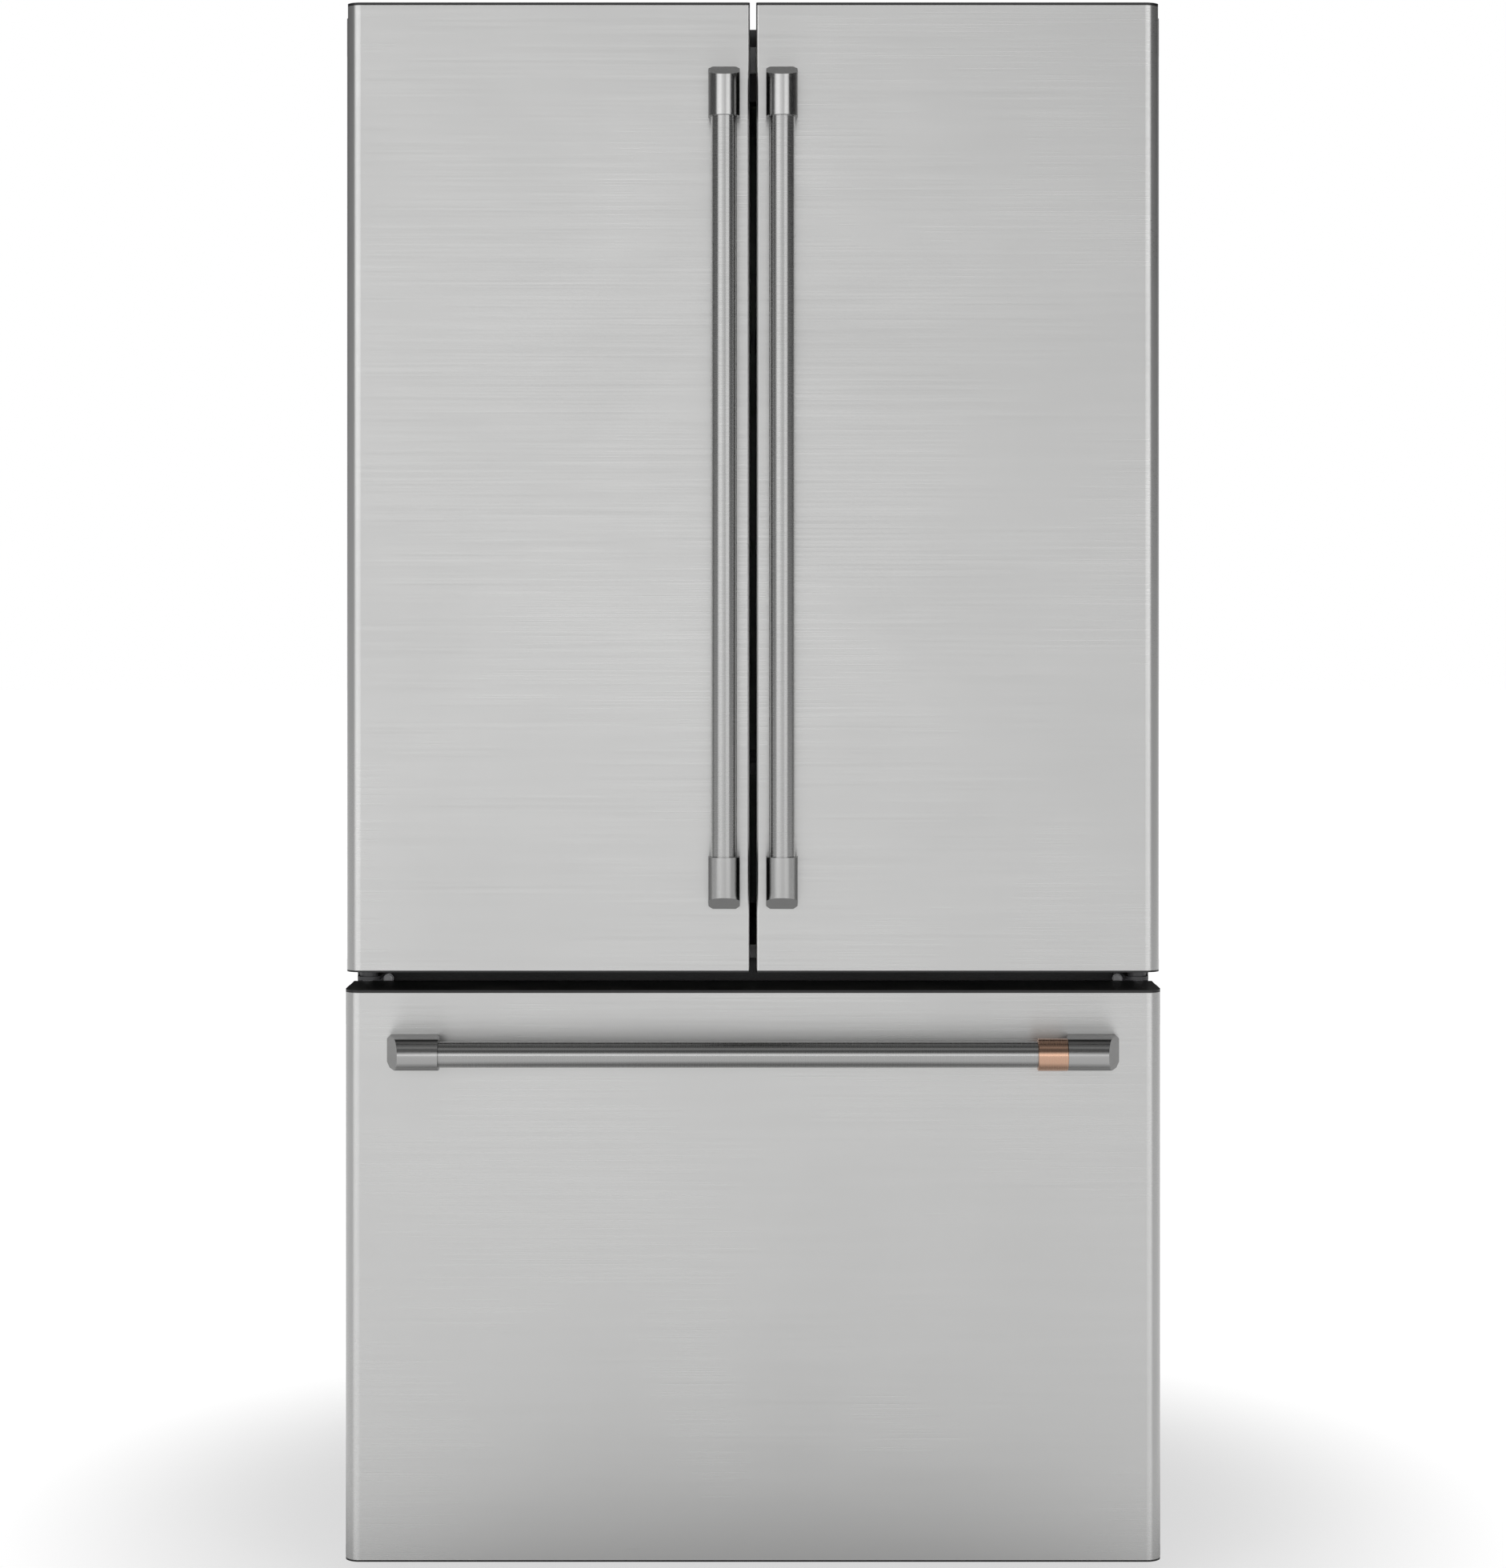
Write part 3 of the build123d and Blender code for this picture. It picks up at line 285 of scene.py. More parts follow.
def dust_group():
    """Settled dust: a mask that is strongest on faces that look up."""
    group, given, out = new_group(
        "dust",
        [("Vector", "NodeSocketVector", None), ("Amount", "NodeSocketFloat", 0.3)],
        [("Dust", "NodeSocketFloat")])
    surface = group.nodes.new("ShaderNodeNewGeometry")
    split = group.nodes.new("ShaderNodeSeparateXYZ")
    group.links.new(surface.outputs["Normal"], split.inputs[0])
    upward = ramp(group, split.outputs["Z"], 0.6, 1.0, 0.0, 1.0)
    noise = place(group, "ShaderNodeTexNoise", Scale=9.0, Detail=6.0, Roughness=0.7)
    group.links.new(given.outputs["Vector"], noise.inputs["Vector"])
    spread = ramp(group, noise.outputs["Fac"], 0.35, 0.75, 0.2, 1.0)
    amount = maths(group, "MULTIPLY", maths(group, "MULTIPLY", upward, spread),
                   given.outputs["Amount"], clamp=True)
    group.links.new(amount, out.inputs["Dust"])
    return group


GROUPS = {}


def use_group(tree, name, coords, **values):
    """Place one of the shared effects, fed with object coordinates."""
    node = tree.nodes.new("ShaderNodeGroup")
    node.node_tree = GROUPS[name]
    tree.links.new(coords.outputs["Object"], node.inputs["Vector"])
    for key, value in values.items():
        node.inputs[key].default_value = value
    return node


def start_material(name, colour, **shader):
    """A material with its Principled shader and object coordinates."""
    made = bpy.data.materials.new(name)
    made.use_nodes = True
    tree = made.node_tree
    bsdf = tree.nodes["Principled BSDF"]
    bsdf.inputs["Base Color"].default_value = (*colour, 1)
    for key, value in shader.items():
        bsdf.inputs[key.replace("_", " ")].default_value = value
    return made, tree, bsdf, tree.nodes.new("ShaderNodeTexCoord")


def shade_by(tree, bsdf, value, colour, dark, light):
    """Vary the base colour between two strengths of one colour."""
    mix = place(tree, "ShaderNodeMix", data_type="RGBA")
    mix.inputs[6].default_value = (*[part * dark for part in colour], 1)
    mix.inputs[7].default_value = (*[min(1, part * light) for part in colour], 1)
    tree.links.new(value, mix.inputs[0])
    tree.links.new(mix.outputs[2], bsdf.inputs["Base Color"])
    return mix


# ---- materials -----------------------------------------------------------------------
def brushed_metal(name, colour, roughness, stretch, depth, smear=None, spread=0.10):
    """Metal with drawn grain that changes its shade, roughness and surface.

    smear is the direction across the grain, along which it draws highlights out.
    """
    made, tree, bsdf, coords = start_material(name, colour, Metallic=1.0)
    if smear:
        bsdf.inputs["Anisotropic"].default_value = 0.8
        across = tree.nodes.new("ShaderNodeCombineXYZ")
        for socket, part in zip(across.inputs, smear):
            socket.default_value = part
        tree.links.new(across.outputs[0], bsdf.inputs["Tangent"])
    grain = use_group(tree, "drawn_grain", coords, Stretch=stretch, Depth=depth)
    mottle = use_group(tree, "mottle", coords, Size=2.5)
    tree.links.new(grain.outputs["Normal"], bsdf.inputs["Normal"])
    shade_by(tree, bsdf, grain.outputs["Grain"], colour, 1 - spread, 1 + spread)
    grained = ramp(tree, grain.outputs["Grain"], 0.3, 0.7, roughness - 0.04, roughness + 0.04)
    uneven = maths(tree, "MULTIPLY", mottle.outputs["Mottle"], 0.03)
    tree.links.new(maths(tree, "ADD", grained, uneven), bsdf.inputs["Roughness"])
    return made


def paint_turned_shade(material, least):
    """Paint shade into a metal's colour on the faces turned away from its front: a painted
    reflection of a dark room.
    """
    tree = material.node_tree
    bsdf = tree.nodes["Principled BSDF"]
    coloured = bsdf.inputs["Base Color"].links[0].from_socket
    coords = tree.nodes.new("ShaderNodeTexCoord")
    split = tree.nodes.new("ShaderNodeSeparateXYZ")
    tree.links.new(coords.outputs["Normal"], split.inputs[0])
    front = ramp(tree, maths(tree, "ABSOLUTE", split.outputs["Y"]), 0.30, 0.65, 1.0, 0.0)
    mix = place(tree, "ShaderNodeMix", data_type="RGBA", blend_type="MULTIPLY")
    mix.inputs[7].default_value = (least, least, least, 1)
    tree.links.new(front, mix.inputs[0])
    tree.links.new(coloured, mix.inputs[6])
    tree.links.new(mix.outputs[2], bsdf.inputs["Base Color"])


def moulding(name, colour, roughness, size=900.0, depth=0.15, dust=0.0, **shader):
    """Plastic or paint with a pebbled skin, uneven gloss and, where wanted, dust."""
    made, tree, bsdf, coords = start_material(name, colour, **shader)
    pebble = use_group(tree, "pebble", coords, Size=size, Depth=depth)
    mottle = use_group(tree, "mottle", coords, Size=4.0)
    tree.links.new(pebble.outputs["Normal"], bsdf.inputs["Normal"])
    mix = shade_by(tree, bsdf, mottle.outputs["Mottle"], colour, 0.95, 1.05)
    gloss = ramp(tree, mottle.outputs["Mottle"], 0.0, 1.0, roughness - 0.03, roughness + 0.05)
    if dust:
        settled = use_group(tree, "dust", coords, Amount=dust)
        over = place(tree, "ShaderNodeMix", data_type="RGBA")
        over.inputs[7].default_value = (0.35, 0.34, 0.32, 1)
        tree.links.new(settled.outputs["Dust"], over.inputs[0])
        tree.links.new(mix.outputs[2], over.inputs[6])
        tree.links.new(over.outputs[2], bsdf.inputs["Base Color"])
        gloss = maths(tree, "ADD", gloss, maths(tree, "MULTIPLY", settled.outputs["Dust"], 0.4),
                      clamp=True)
    tree.links.new(gloss, bsdf.inputs["Roughness"])
    return made


def clear_moulding(name, colour, clear, cloudy):
    """Clear plastic or glass: see-through where faced, denser towards its edges."""
    made, tree, bsdf, coords = start_material(name, colour, IOR=1.5)
    mottle = use_group(tree, "mottle", coords, Size=6.0)
    gloss = ramp(tree, mottle.outputs["Mottle"], 0.0, 1.0, 0.04, 0.14)
    tree.links.new(gloss, bsdf.inputs["Roughness"])
    shade_by(tree, bsdf, mottle.outputs["Mottle"], colour, 0.96, 1.04)
    facing = place(tree, "ShaderNodeLayerWeight", Blend=0.35)
    tree.links.new(ramp(tree, facing.outputs["Facing"], 0.0, 1.0, clear, cloudy),
                   bsdf.inputs["Alpha"])
    return made


def zinc_plate(name, colour):
    """Zinc-plated sheet with its crystalline spangle."""
    made, tree, bsdf, coords = start_material(name, colour, Metallic=1.0)
    cells = place(tree, "ShaderNodeTexVoronoi", Scale=90.0)
    tree.links.new(coords.outputs["Object"], cells.inputs["Vector"])
    grey = tree.nodes.new("ShaderNodeRGBToBW")
    tree.links.new(cells.outputs["Color"], grey.inputs[0])
    shade_by(tree, bsdf, grey.outputs[0], colour, 0.8, 1.1)
    tree.links.new(ramp(tree, grey.outputs[0], 0.0, 1.0, 0.28, 0.5), bsdf.inputs["Roughness"])
    pebble = use_group(tree, "pebble", coords, Size=300.0, Depth=0.08)
    tree.links.new(pebble.outputs["Normal"], bsdf.inputs["Normal"])
    return made


def foam_material(name, colour):
    """Cut rigid foam with open cells."""
    made, tree, bsdf, coords = start_material(name, colour)
    pebble = use_group(tree, "pebble", coords, Size=500.0, Depth=0.9)
    tree.links.new(pebble.outputs["Normal"], bsdf.inputs["Normal"])
    # darker in the pits of the cells and lighter on their rims: painted shade
    shade_by(tree, bsdf, pebble.outputs["Height"], colour, 0.75, 1.1)
    bsdf.inputs["Roughness"].default_value = 0.9
    return made


def dress(names, material):
    """Give carried-over nodes one material."""
    for name in names:
        slots = NODES[name].data.materials
        slots.clear()
        slots.append(material)


def break_edges(names, width):
    """Round the sharp edges of carried-over nodes a little, for their highlights."""
    for name in names:
        bevel = NODES[name].modifiers.new("broken_edges", "BEVEL")
        bevel.width = width
        bevel.segments = 2
        bevel.limit_method = "ANGLE"
        bevel.angle_limit = radians(40)
        bevel.harden_normals = True


# ---- mesh helpers --------------------------------------------------------------------
def finish_mesh(name, mesh_data, material, body):
    """Turn a bmesh into a smooth-shaded piece that rides on a body."""
    bmesh.ops.recalc_face_normals(mesh_data, faces=mesh_data.faces)
    mesh = bpy.data.meshes.new(name)
    mesh_data.to_mesh(mesh)
    mesh_data.free()
    mesh.materials.append(material)
    piece = bpy.data.objects.new(name, mesh)
    bpy.context.scene.collection.objects.link(piece)
    mesh.shade_smooth()
    mesh.set_sharp_from_angle(angle=radians(35))
    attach(piece, body)
    return piece


def ring_sweep(mesh_data, box, profile):
    """Sweep a closed profile round an upright rectangle with mitred corners.

    box is (x0, x1, z0, z1); each profile point is (inward, y).
    """
    loops = []
    for inward, y in profile:
        x0, x1, z0, z1 = box[0] + inward, box[1] - inward, box[2] + inward, box[3] - inward
        corners = ((x0, z0), (x1, z0), (x1, z1), (x0, z1))
        loops.append([mesh_data.verts.new((x, y, z)) for x, z in corners])
    for one, two in zip(loops, loops[1:] + loops[:1]):
        for here in range(4):
            there = (here + 1) % 4
            mesh_data.faces.new((one[here], one[there], two[there], two[here]))


# ---- operators -----------------------------------------------------------------------
class EffectsOperator(bpy.types.Operator):
    """Build the shader groups that the materials share"""

    bl_idname = "fridge.effects"
    bl_label = "Shared effects"

    def execute(self, context):
        for build in (grain_group, mottle_group, pebble_group, dust_group):
            group = build()
            GROUPS[group.name] = group
        return {"FINISHED"}


class PanelsOperator(bpy.types.Operator):
    """Finish the steel fronts, their end caps and the foam behind them"""

    bl_idname = "fridge.panels"
    bl_label = "Doors and drawer front"

    def execute(self, context):
        finish = context.scene.fridge_finish
        steel = brushed_metal("front_steel", finish.steel, finish.steel_roughness,
                              SHEET_GRAIN, 0.02, UPRIGHT, 0.010)
        caps = moulding("end_cap_plastic", (0.012, 0.012, 0.013), 0.42, dust=0.25)
        dress([f"{panel}_skin" for panel in PANELS], steel)
        dress([f"{panel}_end_caps" for panel in PANELS], caps)
        dress([f"{panel}_foam" for panel in PANELS] + ["insulation"],
              foam_material("rigid_foam", (0.72, 0.62, 0.38)))
        break_edges([f"{panel}_end_caps" for panel in PANELS], 0.0005)
        return {"FINISHED"}


class HandlesOperator(bpy.types.Operator):
    """Finish the handles, whose grain runs crosswise, and the plated ring"""

    bl_idname = "fridge.handles"
    bl_label = "Handles"

    def execute(self, context):
        finish = context.scene.fridge_finish
        # the same steel as the fronts, painted darker: painted shade
        drawn = [part * HANDLE_PAINTED_SHADE for part in finish.steel]
        matt = finish.steel_roughness
        upright = brushed_metal("upright_handle_steel", drawn, matt - 0.06, UPRIGHT_GRAIN, 0.02,
                                UPRIGHT, 0.04)
        level = brushed_metal("level_handle_steel", drawn, matt - 0.06, LEVEL_GRAIN, 0.02,
                              LEVEL, 0.04)
        ring = brushed_metal("ring_plating", finish.ring, matt - 0.04, LEVEL_GRAIN, 0.03,
                             LEVEL, 0.06)
        ends = brushed_metal("handle_end_steel", drawn, matt - 0.08, END_GRAIN, 0.03, spread=0.03)
        # the ends' faces turned from the front get painted shade, a painted reflection of a dark
        # room
        paint_turned_shade(ends, TURNED_PAINTED_SHADE)
        for panel in PANELS:
            dress([f"{panel}_handle_bar"], level if panel == "freezer_drawer" else upright)
            dress([f"{panel}_handle_ends"], ends)
        dress(["handle_ring"], ring)
        break_edges([f"{panel}_handle_ends" for panel in PANELS],
                    context.scene.fridge_detail.edge_break)
        return {"FINISHED"}


class CabinetOperator(bpy.types.Operator):
    """Finish the cabinet's outside: case, back, base, hinges, covers, grille and feet"""

    bl_idname = "fridge.cabinet"
    bl_label = "Cabinet"

    def execute(self, context):
        finish = context.scene.fridge_finish
        paint = moulding("cabinet_paint", finish.case, 0.45, 650.0, 0.25, dust=0.35,
                         Specular_IOR_Level=0.4)
        plastic = moulding("black_plastic", (0.015, 0.015, 0.016), 0.45, dust=0.2)
        zinc = zinc_plate("zinc_plate", (0.55, 0.56, 0.57))
        dress(("cabinet_case", "top_hinges", "centre_hinges",
               "shelf_tracks", "compressor", "condenser_coil"), paint)
        dress(("partition_rail", "hinge_covers", "toe_grille", "rear_rollers", "evaporator_fan",
               "condenser_fan"), plastic)
        dress(("back_panel", "base_pan", "levelling_legs", "roller_axles", "flipper_arms",
               "fixed_runners", "middle_runners", "drawer_runners"), zinc)
        dress(["fan_motors"], moulding("motor_plastic", (0.2, 0.2, 0.21), 0.5))
        dress(["evaporator_coil"], brushed_metal("coil_aluminium", (0.75, 0.76, 0.77), 0.4,
                                                 (900, 40, 40), 0.1))
        break_edges(("hinge_covers", "toe_grille", "centre_hinges", "top_hinges",
                     "levelling_legs"), context.scene.fridge_detail.edge_break)
        return {"FINISHED"}


class InteriorOperator(bpy.types.Operator):
    """Finish the compartments, shelves, crispers, bins and light"""

    bl_idname = "fridge.interior"
    bl_label = "Interior"

    def execute(self, context):
        finish = context.scene.fridge_finish
        liner = moulding("liner_plastic", finish.liner, 0.28, 420.0, 0.05)
        trim = moulding("shelf_trim_plastic", (0.62, 0.63, 0.64), 0.32, 600.0, 0.06)
        clear = clear_moulding("clear_plastic", (0.88, 0.92, 0.94), 0.16, 0.75)
        glass = clear_moulding("shelf_glass", (0.72, 0.86, 0.82), 0.14, 0.70)
        grey = moulding("grey_plastic", (0.10, 0.10, 0.11), 0.45)
        dress(["fresh_food_liner", "freezer_liner", "air_duct_cover", "evaporator_cover"]
              + [f"{panel}_liner" for panel in PANELS], liner)
        dress(("shelf_frames", "crisper_cover"), trim)
        dress(("left_door_bins", "right_door_bins", "left_crisper", "right_crisper",
               "freezer_basket"), clear)
        dress(["shelf_panes"], glass)
        dress(("flipper_bar", "flipper_guide"), grey)
        dress(["interior_light"], moulding("light_diffuser", (0.92, 0.92, 0.90), 0.35))
        break_edges(("shelf_frames", "crisper_cover", "flipper_bar", "air_duct_cover",
                     "left_crisper", "right_crisper", "freezer_basket"),
                    context.scene.fridge_detail.edge_break)
        return {"FINISHED"}


def seal_profile(front, back, lip):
    """A bellows seal's section as (inward, y) points, from its foot to its magnetic lip."""
    fold = (back - front - lip) / 2
    outer = [
        (SEAL_SOFTENING, front),
        (0.0, front + SEAL_SOFTENING),
        (0.0, front + SEAL_FOOT),
        (SEAL_FOLD, front + fold),
        (0.0, back - lip),
        (0.0, back - SEAL_SOFTENING),
        (SEAL_SOFTENING, back),
    ]
    return outer + [(SEAL_WIDTH - inward, y) for inward, y in reversed(outer)]


class GasketsOperator(bpy.types.Operator):
    """Build the bellows seals round the doors and the drawer"""

    bl_idname = "fridge.gaskets"
    bl_label = "Gaskets"

    def execute(self, context):
        lip = context.scene.fridge_detail.gasket_lip
        rubber = moulding("gasket_rubber", (0.035, 0.035, 0.038), 0.5, 1500.0, 0.1)
        for panel in PANELS:
            low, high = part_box(f"{panel}_gasket")
            mesh_data = bmesh.new()
            ring_sweep(mesh_data, (low.x, high.x, low.z, high.z), seal_profile(low.y, high.y, lip))
            piece = finish_mesh(f"{panel}_seal", mesh_data, rubber, panel)
            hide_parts(f"{panel}_gasket")
        return {"FINISHED"}


class ScrewsOperator(bpy.types.Operator):
    """Build the flanged hex screws that hold the centre hinges"""

    bl_idname = "fridge.screws"
    bl_label = "Hinge screws"

    def execute(self, context):
        size = context.scene.fridge_detail.screw_head
        zinc = zinc_plate("screw_zinc", (0.45, 0.45, 0.46))
        low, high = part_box("centre_hinges")
        plate_front = high.y - LEAF_SETBACK
        middle = (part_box("freezer_drawer_end_caps")[1].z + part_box("left_door_end_caps")[0].z) / 2
        flange_and_head = ((size * 0.62, FLANGE_HEIGHT, 24), (size * 0.55, HEAD_HEIGHT, 6))
        mesh_data = bmesh.new()
        for side in (-1, 1):
            for along in SCREW_PLACES:
                x = side * (high.x - along)
                for radius, height, corners in flange_and_head:
                    made = bmesh.ops.create_cone(
                        mesh_data, cap_ends=True, segments=corners, radius1=radius,
                        radius2=radius * 0.94, depth=height)
                    for vert in made["verts"]:
                        across, up, out = vert.co
                        vert.co = (x + across, plate_front - height / 2 - out,
                                   middle - SCREW_DROP + up)
        finish_mesh("centre_hinge_screws", mesh_data, zinc, "cabinet")
        return {"FINISHED"}


class TracksOperator(bpy.types.Operator):
    """Build the rows of slots in the shelf tracks, where the shelves hook in"""

    bl_idname = "fridge.track_slots"
    bl_label = "Shelf track slots"

    def execute(self, context):
        low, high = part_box("shelf_tracks")
        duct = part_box("air_duct_cover")[1].x
        outer, inner = high.x - TRACK_WIDTH / 2, duct + DUCT_TO_TRACK
        mesh_data = bmesh.new()
        count = int((high.z - low.z) / SLOT_PITCH) - 1
        for x in (-outer, -inner, inner, outer):
            for number in range(count):
                slot_plate(mesh_data, x, low.y, low.z + SLOT_PITCH * (number + 1))
        # the slots are near-black plates: painted shade standing in for their hollows
        painted_slot_shade = moulding("slot_shadow", (0.006, 0.006, 0.006), 0.8, 300.0)
        finish_mesh("shelf_track_slots", mesh_data, painted_slot_shade, "cabinet")
        return {"FINISHED"}


def slot_plate(mesh_data, x, y, z):
    """One upright round-ended slot, as a thin raised plate facing the front."""
    radius = SLOT_WIDTH / 2
    rim = []
    for end in (1, -1):
        for step in range(SLOT_STEPS + 1):
            turn = pi * step / SLOT_STEPS
            rim.append((x + end * radius * cos(turn),
                        z + end * ((SLOT_HEIGHT - SLOT_WIDTH) / 2 + radius * sin(turn))))
    front = [mesh_data.verts.new((px, y - SLOT_PROUD, pz)) for px, pz in rim]
    back = [mesh_data.verts.new((px, y, pz)) for px, pz in rim]
    mesh_data.faces.new(front)
    mesh_data.faces.new(back)
    for here in range(len(rim)):
        there = (here + 1) % len(rim)
        mesh_data.faces.new((front[here], front[there], back[there], back[here]))


class RimsOperator(bpy.types.Operator):
    """Build the rounded rims along the tops of the door bins"""

    bl_idname = "fridge.bin_rims"
    bl_label = "Bin rims"

    def execute(self, context):
        rim = clear_moulding("bin_rim_plastic", (0.90, 0.92, 0.93), 0.65, 0.95)
        for door in DOORS:
            low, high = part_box(f"{door}_bins")
            mesh_data = bmesh.new()
            for top in bin_tops(f"{door}_bins"):
                bead_round(mesh_data, (low.x + RIM_INSET, high.x - RIM_INSET),
                           (low.y, high.y - RIM_INSET), top - RIM_RADIUS)
            finish_mesh(f"{door}_bin_rims", mesh_data, rim, door)
        return {"FINISHED"}


def bin_tops(name):
    """Heights of the tops of the separate bins in a node, from the gaps between its corners."""
    heights = sorted({round(vert.co.z, 4) for vert in NODES[name].data.vertices})
    tops = [lower for lower, upper in zip(heights, heights[1:])
            if BIN_GAP_LEAST < upper - lower < BIN_GAP_MOST]
    return [top for top in tops if top - heights[0] > BIN_RISE] + [heights[-1]]


def bead_round(mesh_data, x, y, z):
    """A round bead along three sides of a bin's top, open towards the door."""
    corners = ((x[0] + RIM_CORNER, pi), (x[1] - RIM_CORNER, pi / 2))
    path = [Vector((x[0], y[0], z))]
    for centre_x, start in corners:
        for step in range(CORNER_STEPS + 1):
            turn = start - pi / 2 * step / CORNER_STEPS
            path.append(Vector((centre_x + RIM_CORNER * cos(turn),
                                y[1] - RIM_CORNER + RIM_CORNER * sin(turn), z)))
    path.append(Vector((x[1], y[0], z)))
    up = Vector((0, 0, 1))
    turns = [2 * pi * step / RIM_SIDES for step in range(RIM_SIDES)]
    rings = []
    for here, point in enumerate(path):
        along = (path[min(here + 1, len(path) - 1)] - path[max(here - 1, 0)]).normalized()
        side = along.cross(up)
        rings.append([mesh_data.verts.new(point + RIM_RADIUS * (cos(turn) * side + sin(turn) * up))
                      for turn in turns])
    for one, two in zip(rings, rings[1:]):
        for here in range(RIM_SIDES):
            there = (here + 1) % RIM_SIDES
            mesh_data.faces.new((one[here], one[there], two[there], two[here]))
    mesh_data.faces.new(rings[0])
    mesh_data.faces.new(rings[-1])


def studio_world():
    """The room that the steel reflects: a wall, two tall soft boxes and dim sides.

    The camera itself sees it plain white.
    """
    world = bpy.data.worlds.new("studio")
    bpy.context.scene.world = world
    world.use_nodes = True
    tree = world.node_tree
    background = tree.nodes["Background"]
    coords = tree.nodes.new("ShaderNodeTexCoord")
    split = tree.nodes.new("ShaderNodeSeparateXYZ")
    tree.links.new(coords.outputs["Generated"], split.inputs[0])
    x, y, z = split.outputs
    azimuth = maths(tree, "ARCTAN2", x, maths(tree, "MULTIPLY", y, -1.0))
    height = maths(tree, "ARCSINE", z)

    def band(inner, outer, soft):
        """1 between two angles from the middle, counted to the right, soft at both ends."""
        rise = ramp(tree, azimuth, radians(inner - soft), radians(inner + soft), 0.0, 1.0)
        fall = ramp(tree, azimuth, radians(outer - soft), radians(outer + soft), 1.0, 0.0)
        return maths(tree, "MULTIPLY", rise, fall)

    total = ramp(tree, azimuth, radians(2), radians(7), WALL_LEFT, WALL_RIGHT)
    total = maths(tree, "MULTIPLY", total, band(*WALL_BAND))
    for inner, outer, soft, level in LIGHT_BANDS:
        total = maths(tree, "ADD", total, maths(tree, "MULTIPLY", band(inner, outer, soft), level))
    upper = ramp(tree, height, radians(0), radians(29), 1.0, 0.08)
    lower = ramp(tree, height, radians(-50), radians(-14), 0.25, 1.0)
    # dark above and behind the case, which the handles' sloping ends reflect
    behind = ramp(tree, y, 0.2, 0.7, 0.0, 1.0)
    raised = ramp(tree, height, radians(8), radians(20), 0.0, 1.0)
    shaded = maths(tree, "MULTIPLY", maths(tree, "MULTIPLY", behind, raised), SHADE_BEHIND)
    shade = maths(tree, "SUBTRACT", 1.0, shaded)
    total = maths(tree, "MULTIPLY", total, shade)
    ceiling = ramp(tree, height, radians(50), radians(80), 0.0, CEILING_GLOW)
    total = maths(tree, "ADD", total, ceiling)
    total = maths(tree, "MULTIPLY", maths(tree, "MULTIPLY", total, upper), lower)
    paths = tree.nodes.new("ShaderNodeLightPath")
    pick = place(tree, "ShaderNodeMix", data_type="FLOAT")
    tree.links.new(paths.outputs["Is Camera Ray"], pick.inputs[0])
    tree.links.new(total, pick.inputs[2])
    pick.inputs[3].default_value = 1.0
    tree.links.new(pick.outputs[0], background.inputs["Strength"])
    background.inputs["Color"].default_value = (1, 1, 1, 1)


def soft_box(name, place_at, aim, size, power):
    """One rectangular area light aimed at a point."""
    data = bpy.data.lights.new(name, "AREA")
    data.shape = "RECTANGLE"
    data.size, data.size_y = size
    data.energy = power
    lamp = bpy.data.objects.new(name, data)
    bpy.context.scene.collection.objects.link(lamp)
    lamp.location = place_at
    lamp.rotation_euler = (Vector(aim) - Vector(place_at)).to_track_quat("-Z", "Y").to_euler()


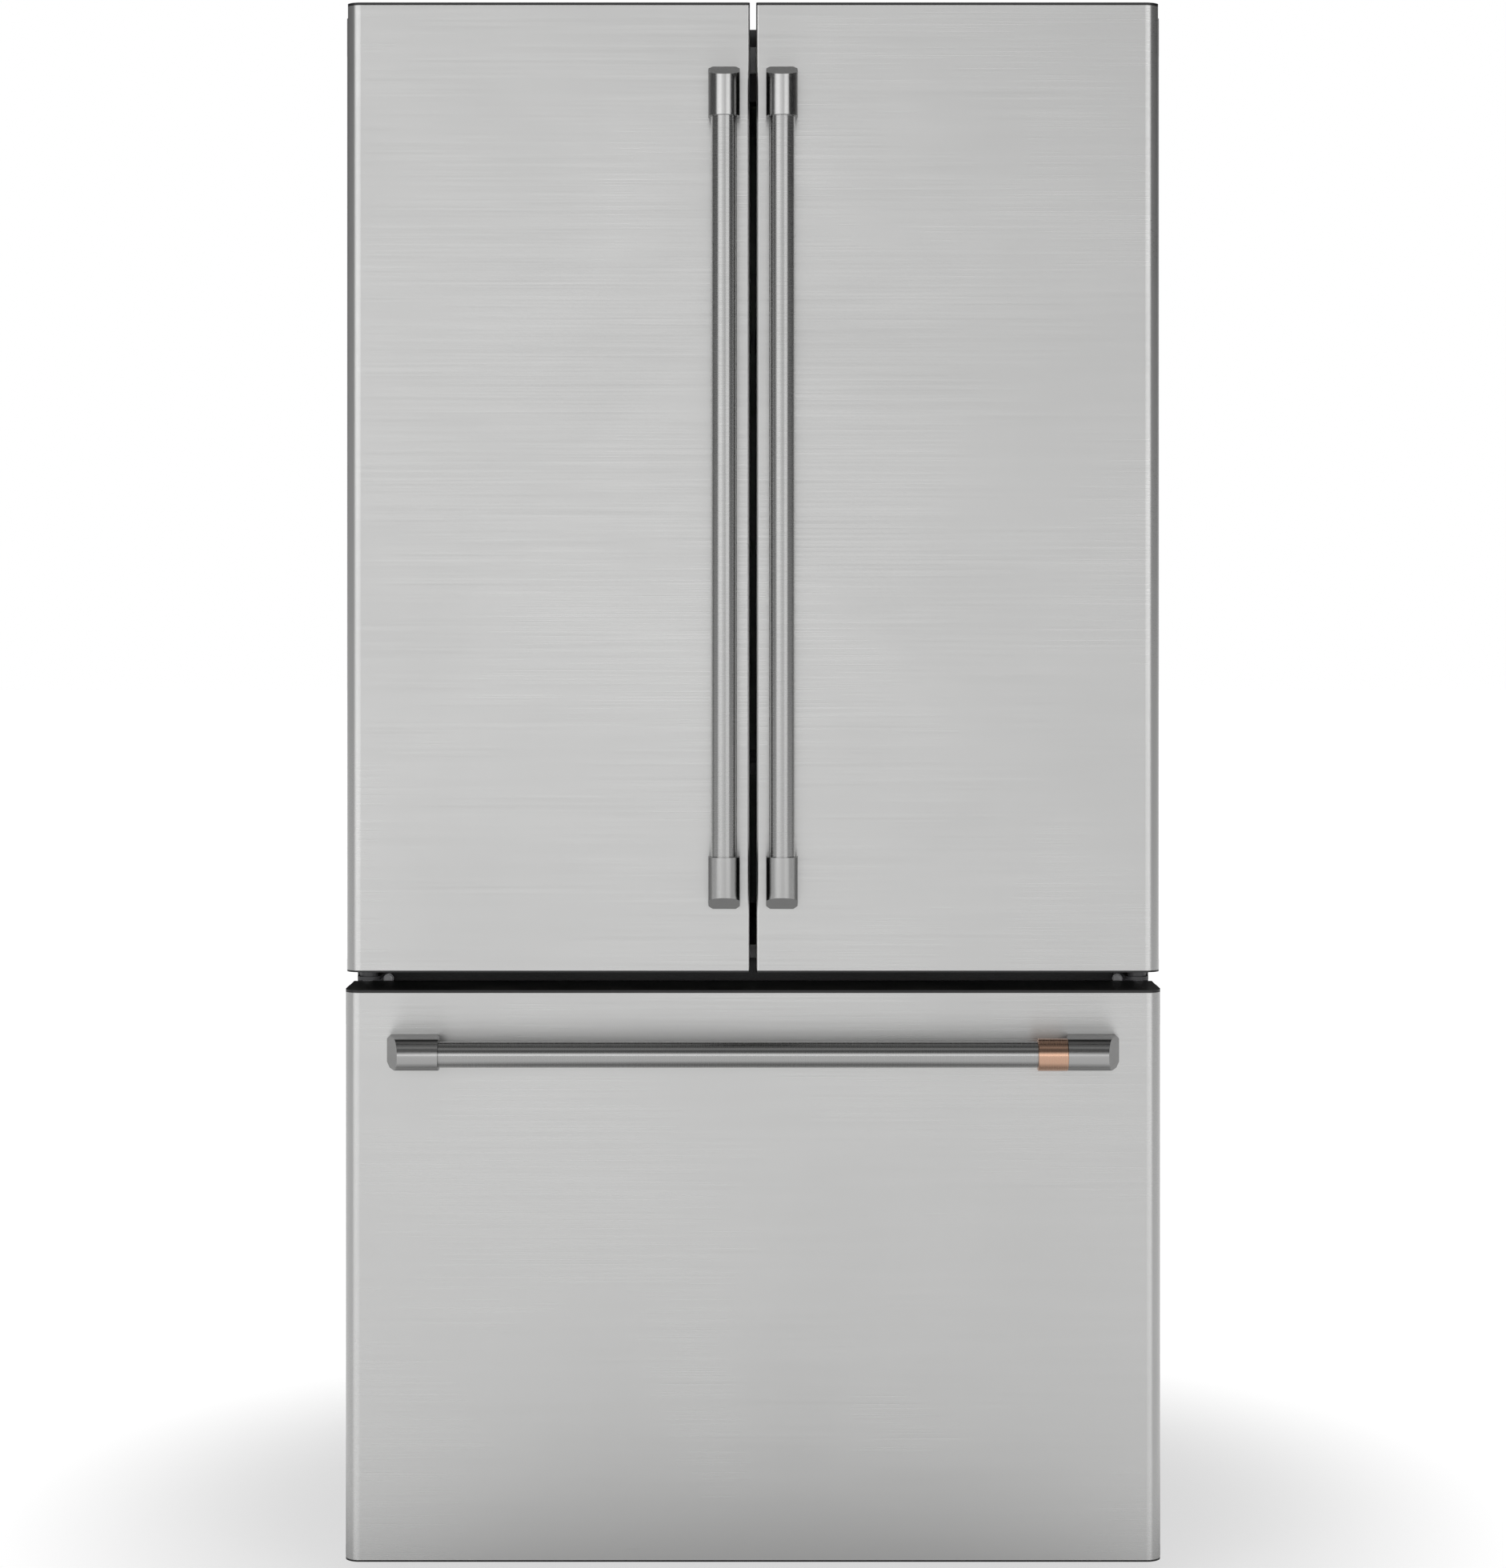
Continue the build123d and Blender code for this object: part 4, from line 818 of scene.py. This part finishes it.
class StageOperator(bpy.types.Operator):
    """Lay the pale floor, light it softly and set the camera"""

    bl_idname = "fridge.stage"
    bl_label = "Stage"

    def execute(self, context):
        stage = context.scene.fridge_stage
        low, high = CAD_BOX
        middle = (low[2] + high[2]) / 2
        mesh_data = bmesh.new()
        bmesh.ops.create_grid(mesh_data, x_segments=8, y_segments=8, size=FLOOR_HALF)
        mesh = bpy.data.meshes.new("floor")
        mesh_data.to_mesh(mesh)
        mesh_data.free()
        floor = bpy.data.objects.new("floor", mesh)
        context.scene.collection.objects.link(floor)
        pale, tree, bsdf, coords = start_material("pale_floor", [FLOOR_COLOUR] * 3, Roughness=0.6)
        distance = place(tree, "ShaderNodeVectorMath", operation="LENGTH")
        tree.links.new(coords.outputs["Object"], distance.inputs[0])
        # the floor glows, darker near the object and brighter away from it, once for the camera and
        # once for the steel: a painted shadow round the object
        far = ramp(tree, distance.outputs["Value"], 0.45, 1.1, 0.62, 1.0)
        paths = tree.nodes.new("ShaderNodeLightPath")
        glow = place(tree, "ShaderNodeMix", data_type="FLOAT")
        tree.links.new(paths.outputs["Is Camera Ray"], glow.inputs[0])
        tree.links.new(far, glow.inputs[3])
        bounce = ramp(tree, distance.outputs["Value"], 0.42, 0.95, 0.25, 0.83)
        tree.links.new(bounce, glow.inputs[2])
        # the steel sees the floor darker than the camera does: a painted reflection
        shade = place(tree, "ShaderNodeMix", data_type="RGBA")
        shade.inputs[6].default_value = (*[FLOOR_COLOUR] * 3, 1)
        shade.inputs[7].default_value = (*[FLOOR_SEEN_IN_STEEL] * 3, 1)
        tree.links.new(paths.outputs["Is Glossy Ray"], shade.inputs[0])
        tree.links.new(shade.outputs[2], bsdf.inputs["Base Color"])
        tree.links.new(glow.outputs[0], bsdf.inputs["Emission Strength"])
        bsdf.inputs["Emission Color"].default_value = (1, 1, 1, 1)
        floor.data.materials.append(pale)

        studio_world()
        soft_box("overhead_box", (0, low[1] - 1.6, high[2] + 1.5), (0, low[1], middle),
                 OVERHEAD_SIZE, OVERHEAD_POWER)

        camera_data = bpy.data.cameras.new("camera")
        camera = bpy.data.objects.new("camera", camera_data)
        context.scene.collection.objects.link(camera)
        context.scene.camera = camera
        door_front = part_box("left_door_skin")[0].y
        camera.location = (0, door_front - stage.distance, stage.height)
        camera.rotation_euler = (radians(90), 0, 0)
        camera_data.sensor_fit = "HORIZONTAL"
        camera_data.sensor_width = SENSOR_WIDTH
        camera_data.lens = stage.lens
        camera_data.clip_end = CAMERA_REACH
        # the picture's top edge clears the doors by the margin
        reach = stage.lens / SENSOR_WIDTH / stage.distance
        top = (high[2] + stage.margin - stage.height) * reach
        camera_data.shift_y = top - PICTURE_HEIGHT / PICTURE_WIDTH / 2
        context.scene.view_settings.view_transform = "Standard"
        return {"FINISHED"}


class FridgePanel(bpy.types.Panel):
    """Steps and settings of the refrigerator"""

    bl_idname = "VIEW3D_PT_fridge"
    bl_label = "Refrigerator"
    bl_space_type = "VIEW_3D"
    bl_region_type = "UI"
    bl_category = "Refrigerator"

    def draw(self, context):
        for settings in SETTINGS:
            group = getattr(context.scene, settings)
            for name in group.bl_rna.properties.keys():
                if name not in ("rna_type", "name"):
                    self.layout.prop(group, name)
        for operator in STEPS:
            self.layout.operator(operator.bl_idname)


SETTINGS = {"fridge_finish": FinishSettings, "fridge_detail": DetailSettings,
            "fridge_stage": StageSettings}
STEPS = (EffectsOperator, PanelsOperator, HandlesOperator, CabinetOperator, InteriorOperator,
         GasketsOperator, ScrewsOperator, TracksOperator, RimsOperator, StageOperator)


def register():
    """Register the classes and give the scene its settings."""
    for item in (*SETTINGS.values(), *STEPS, FridgePanel):
        bpy.utils.register_class(item)
    for name, group in SETTINGS.items():
        setattr(bpy.types.Scene, name, bpy.props.PointerProperty(type=group))


def unregister():
    """Take the settings and the classes away again."""
    for name in SETTINGS:
        delattr(bpy.types.Scene, name)
    for item in (FridgePanel, *reversed(STEPS), *reversed(SETTINGS.values())):
        bpy.utils.unregister_class(item)


def main():
    """Build every piece in order."""
    register()
    for step in STEPS:
        area, name = step.bl_idname.split(".")
        getattr(getattr(bpy.ops, area), name)()


if __name__ == "__main__":
    main()
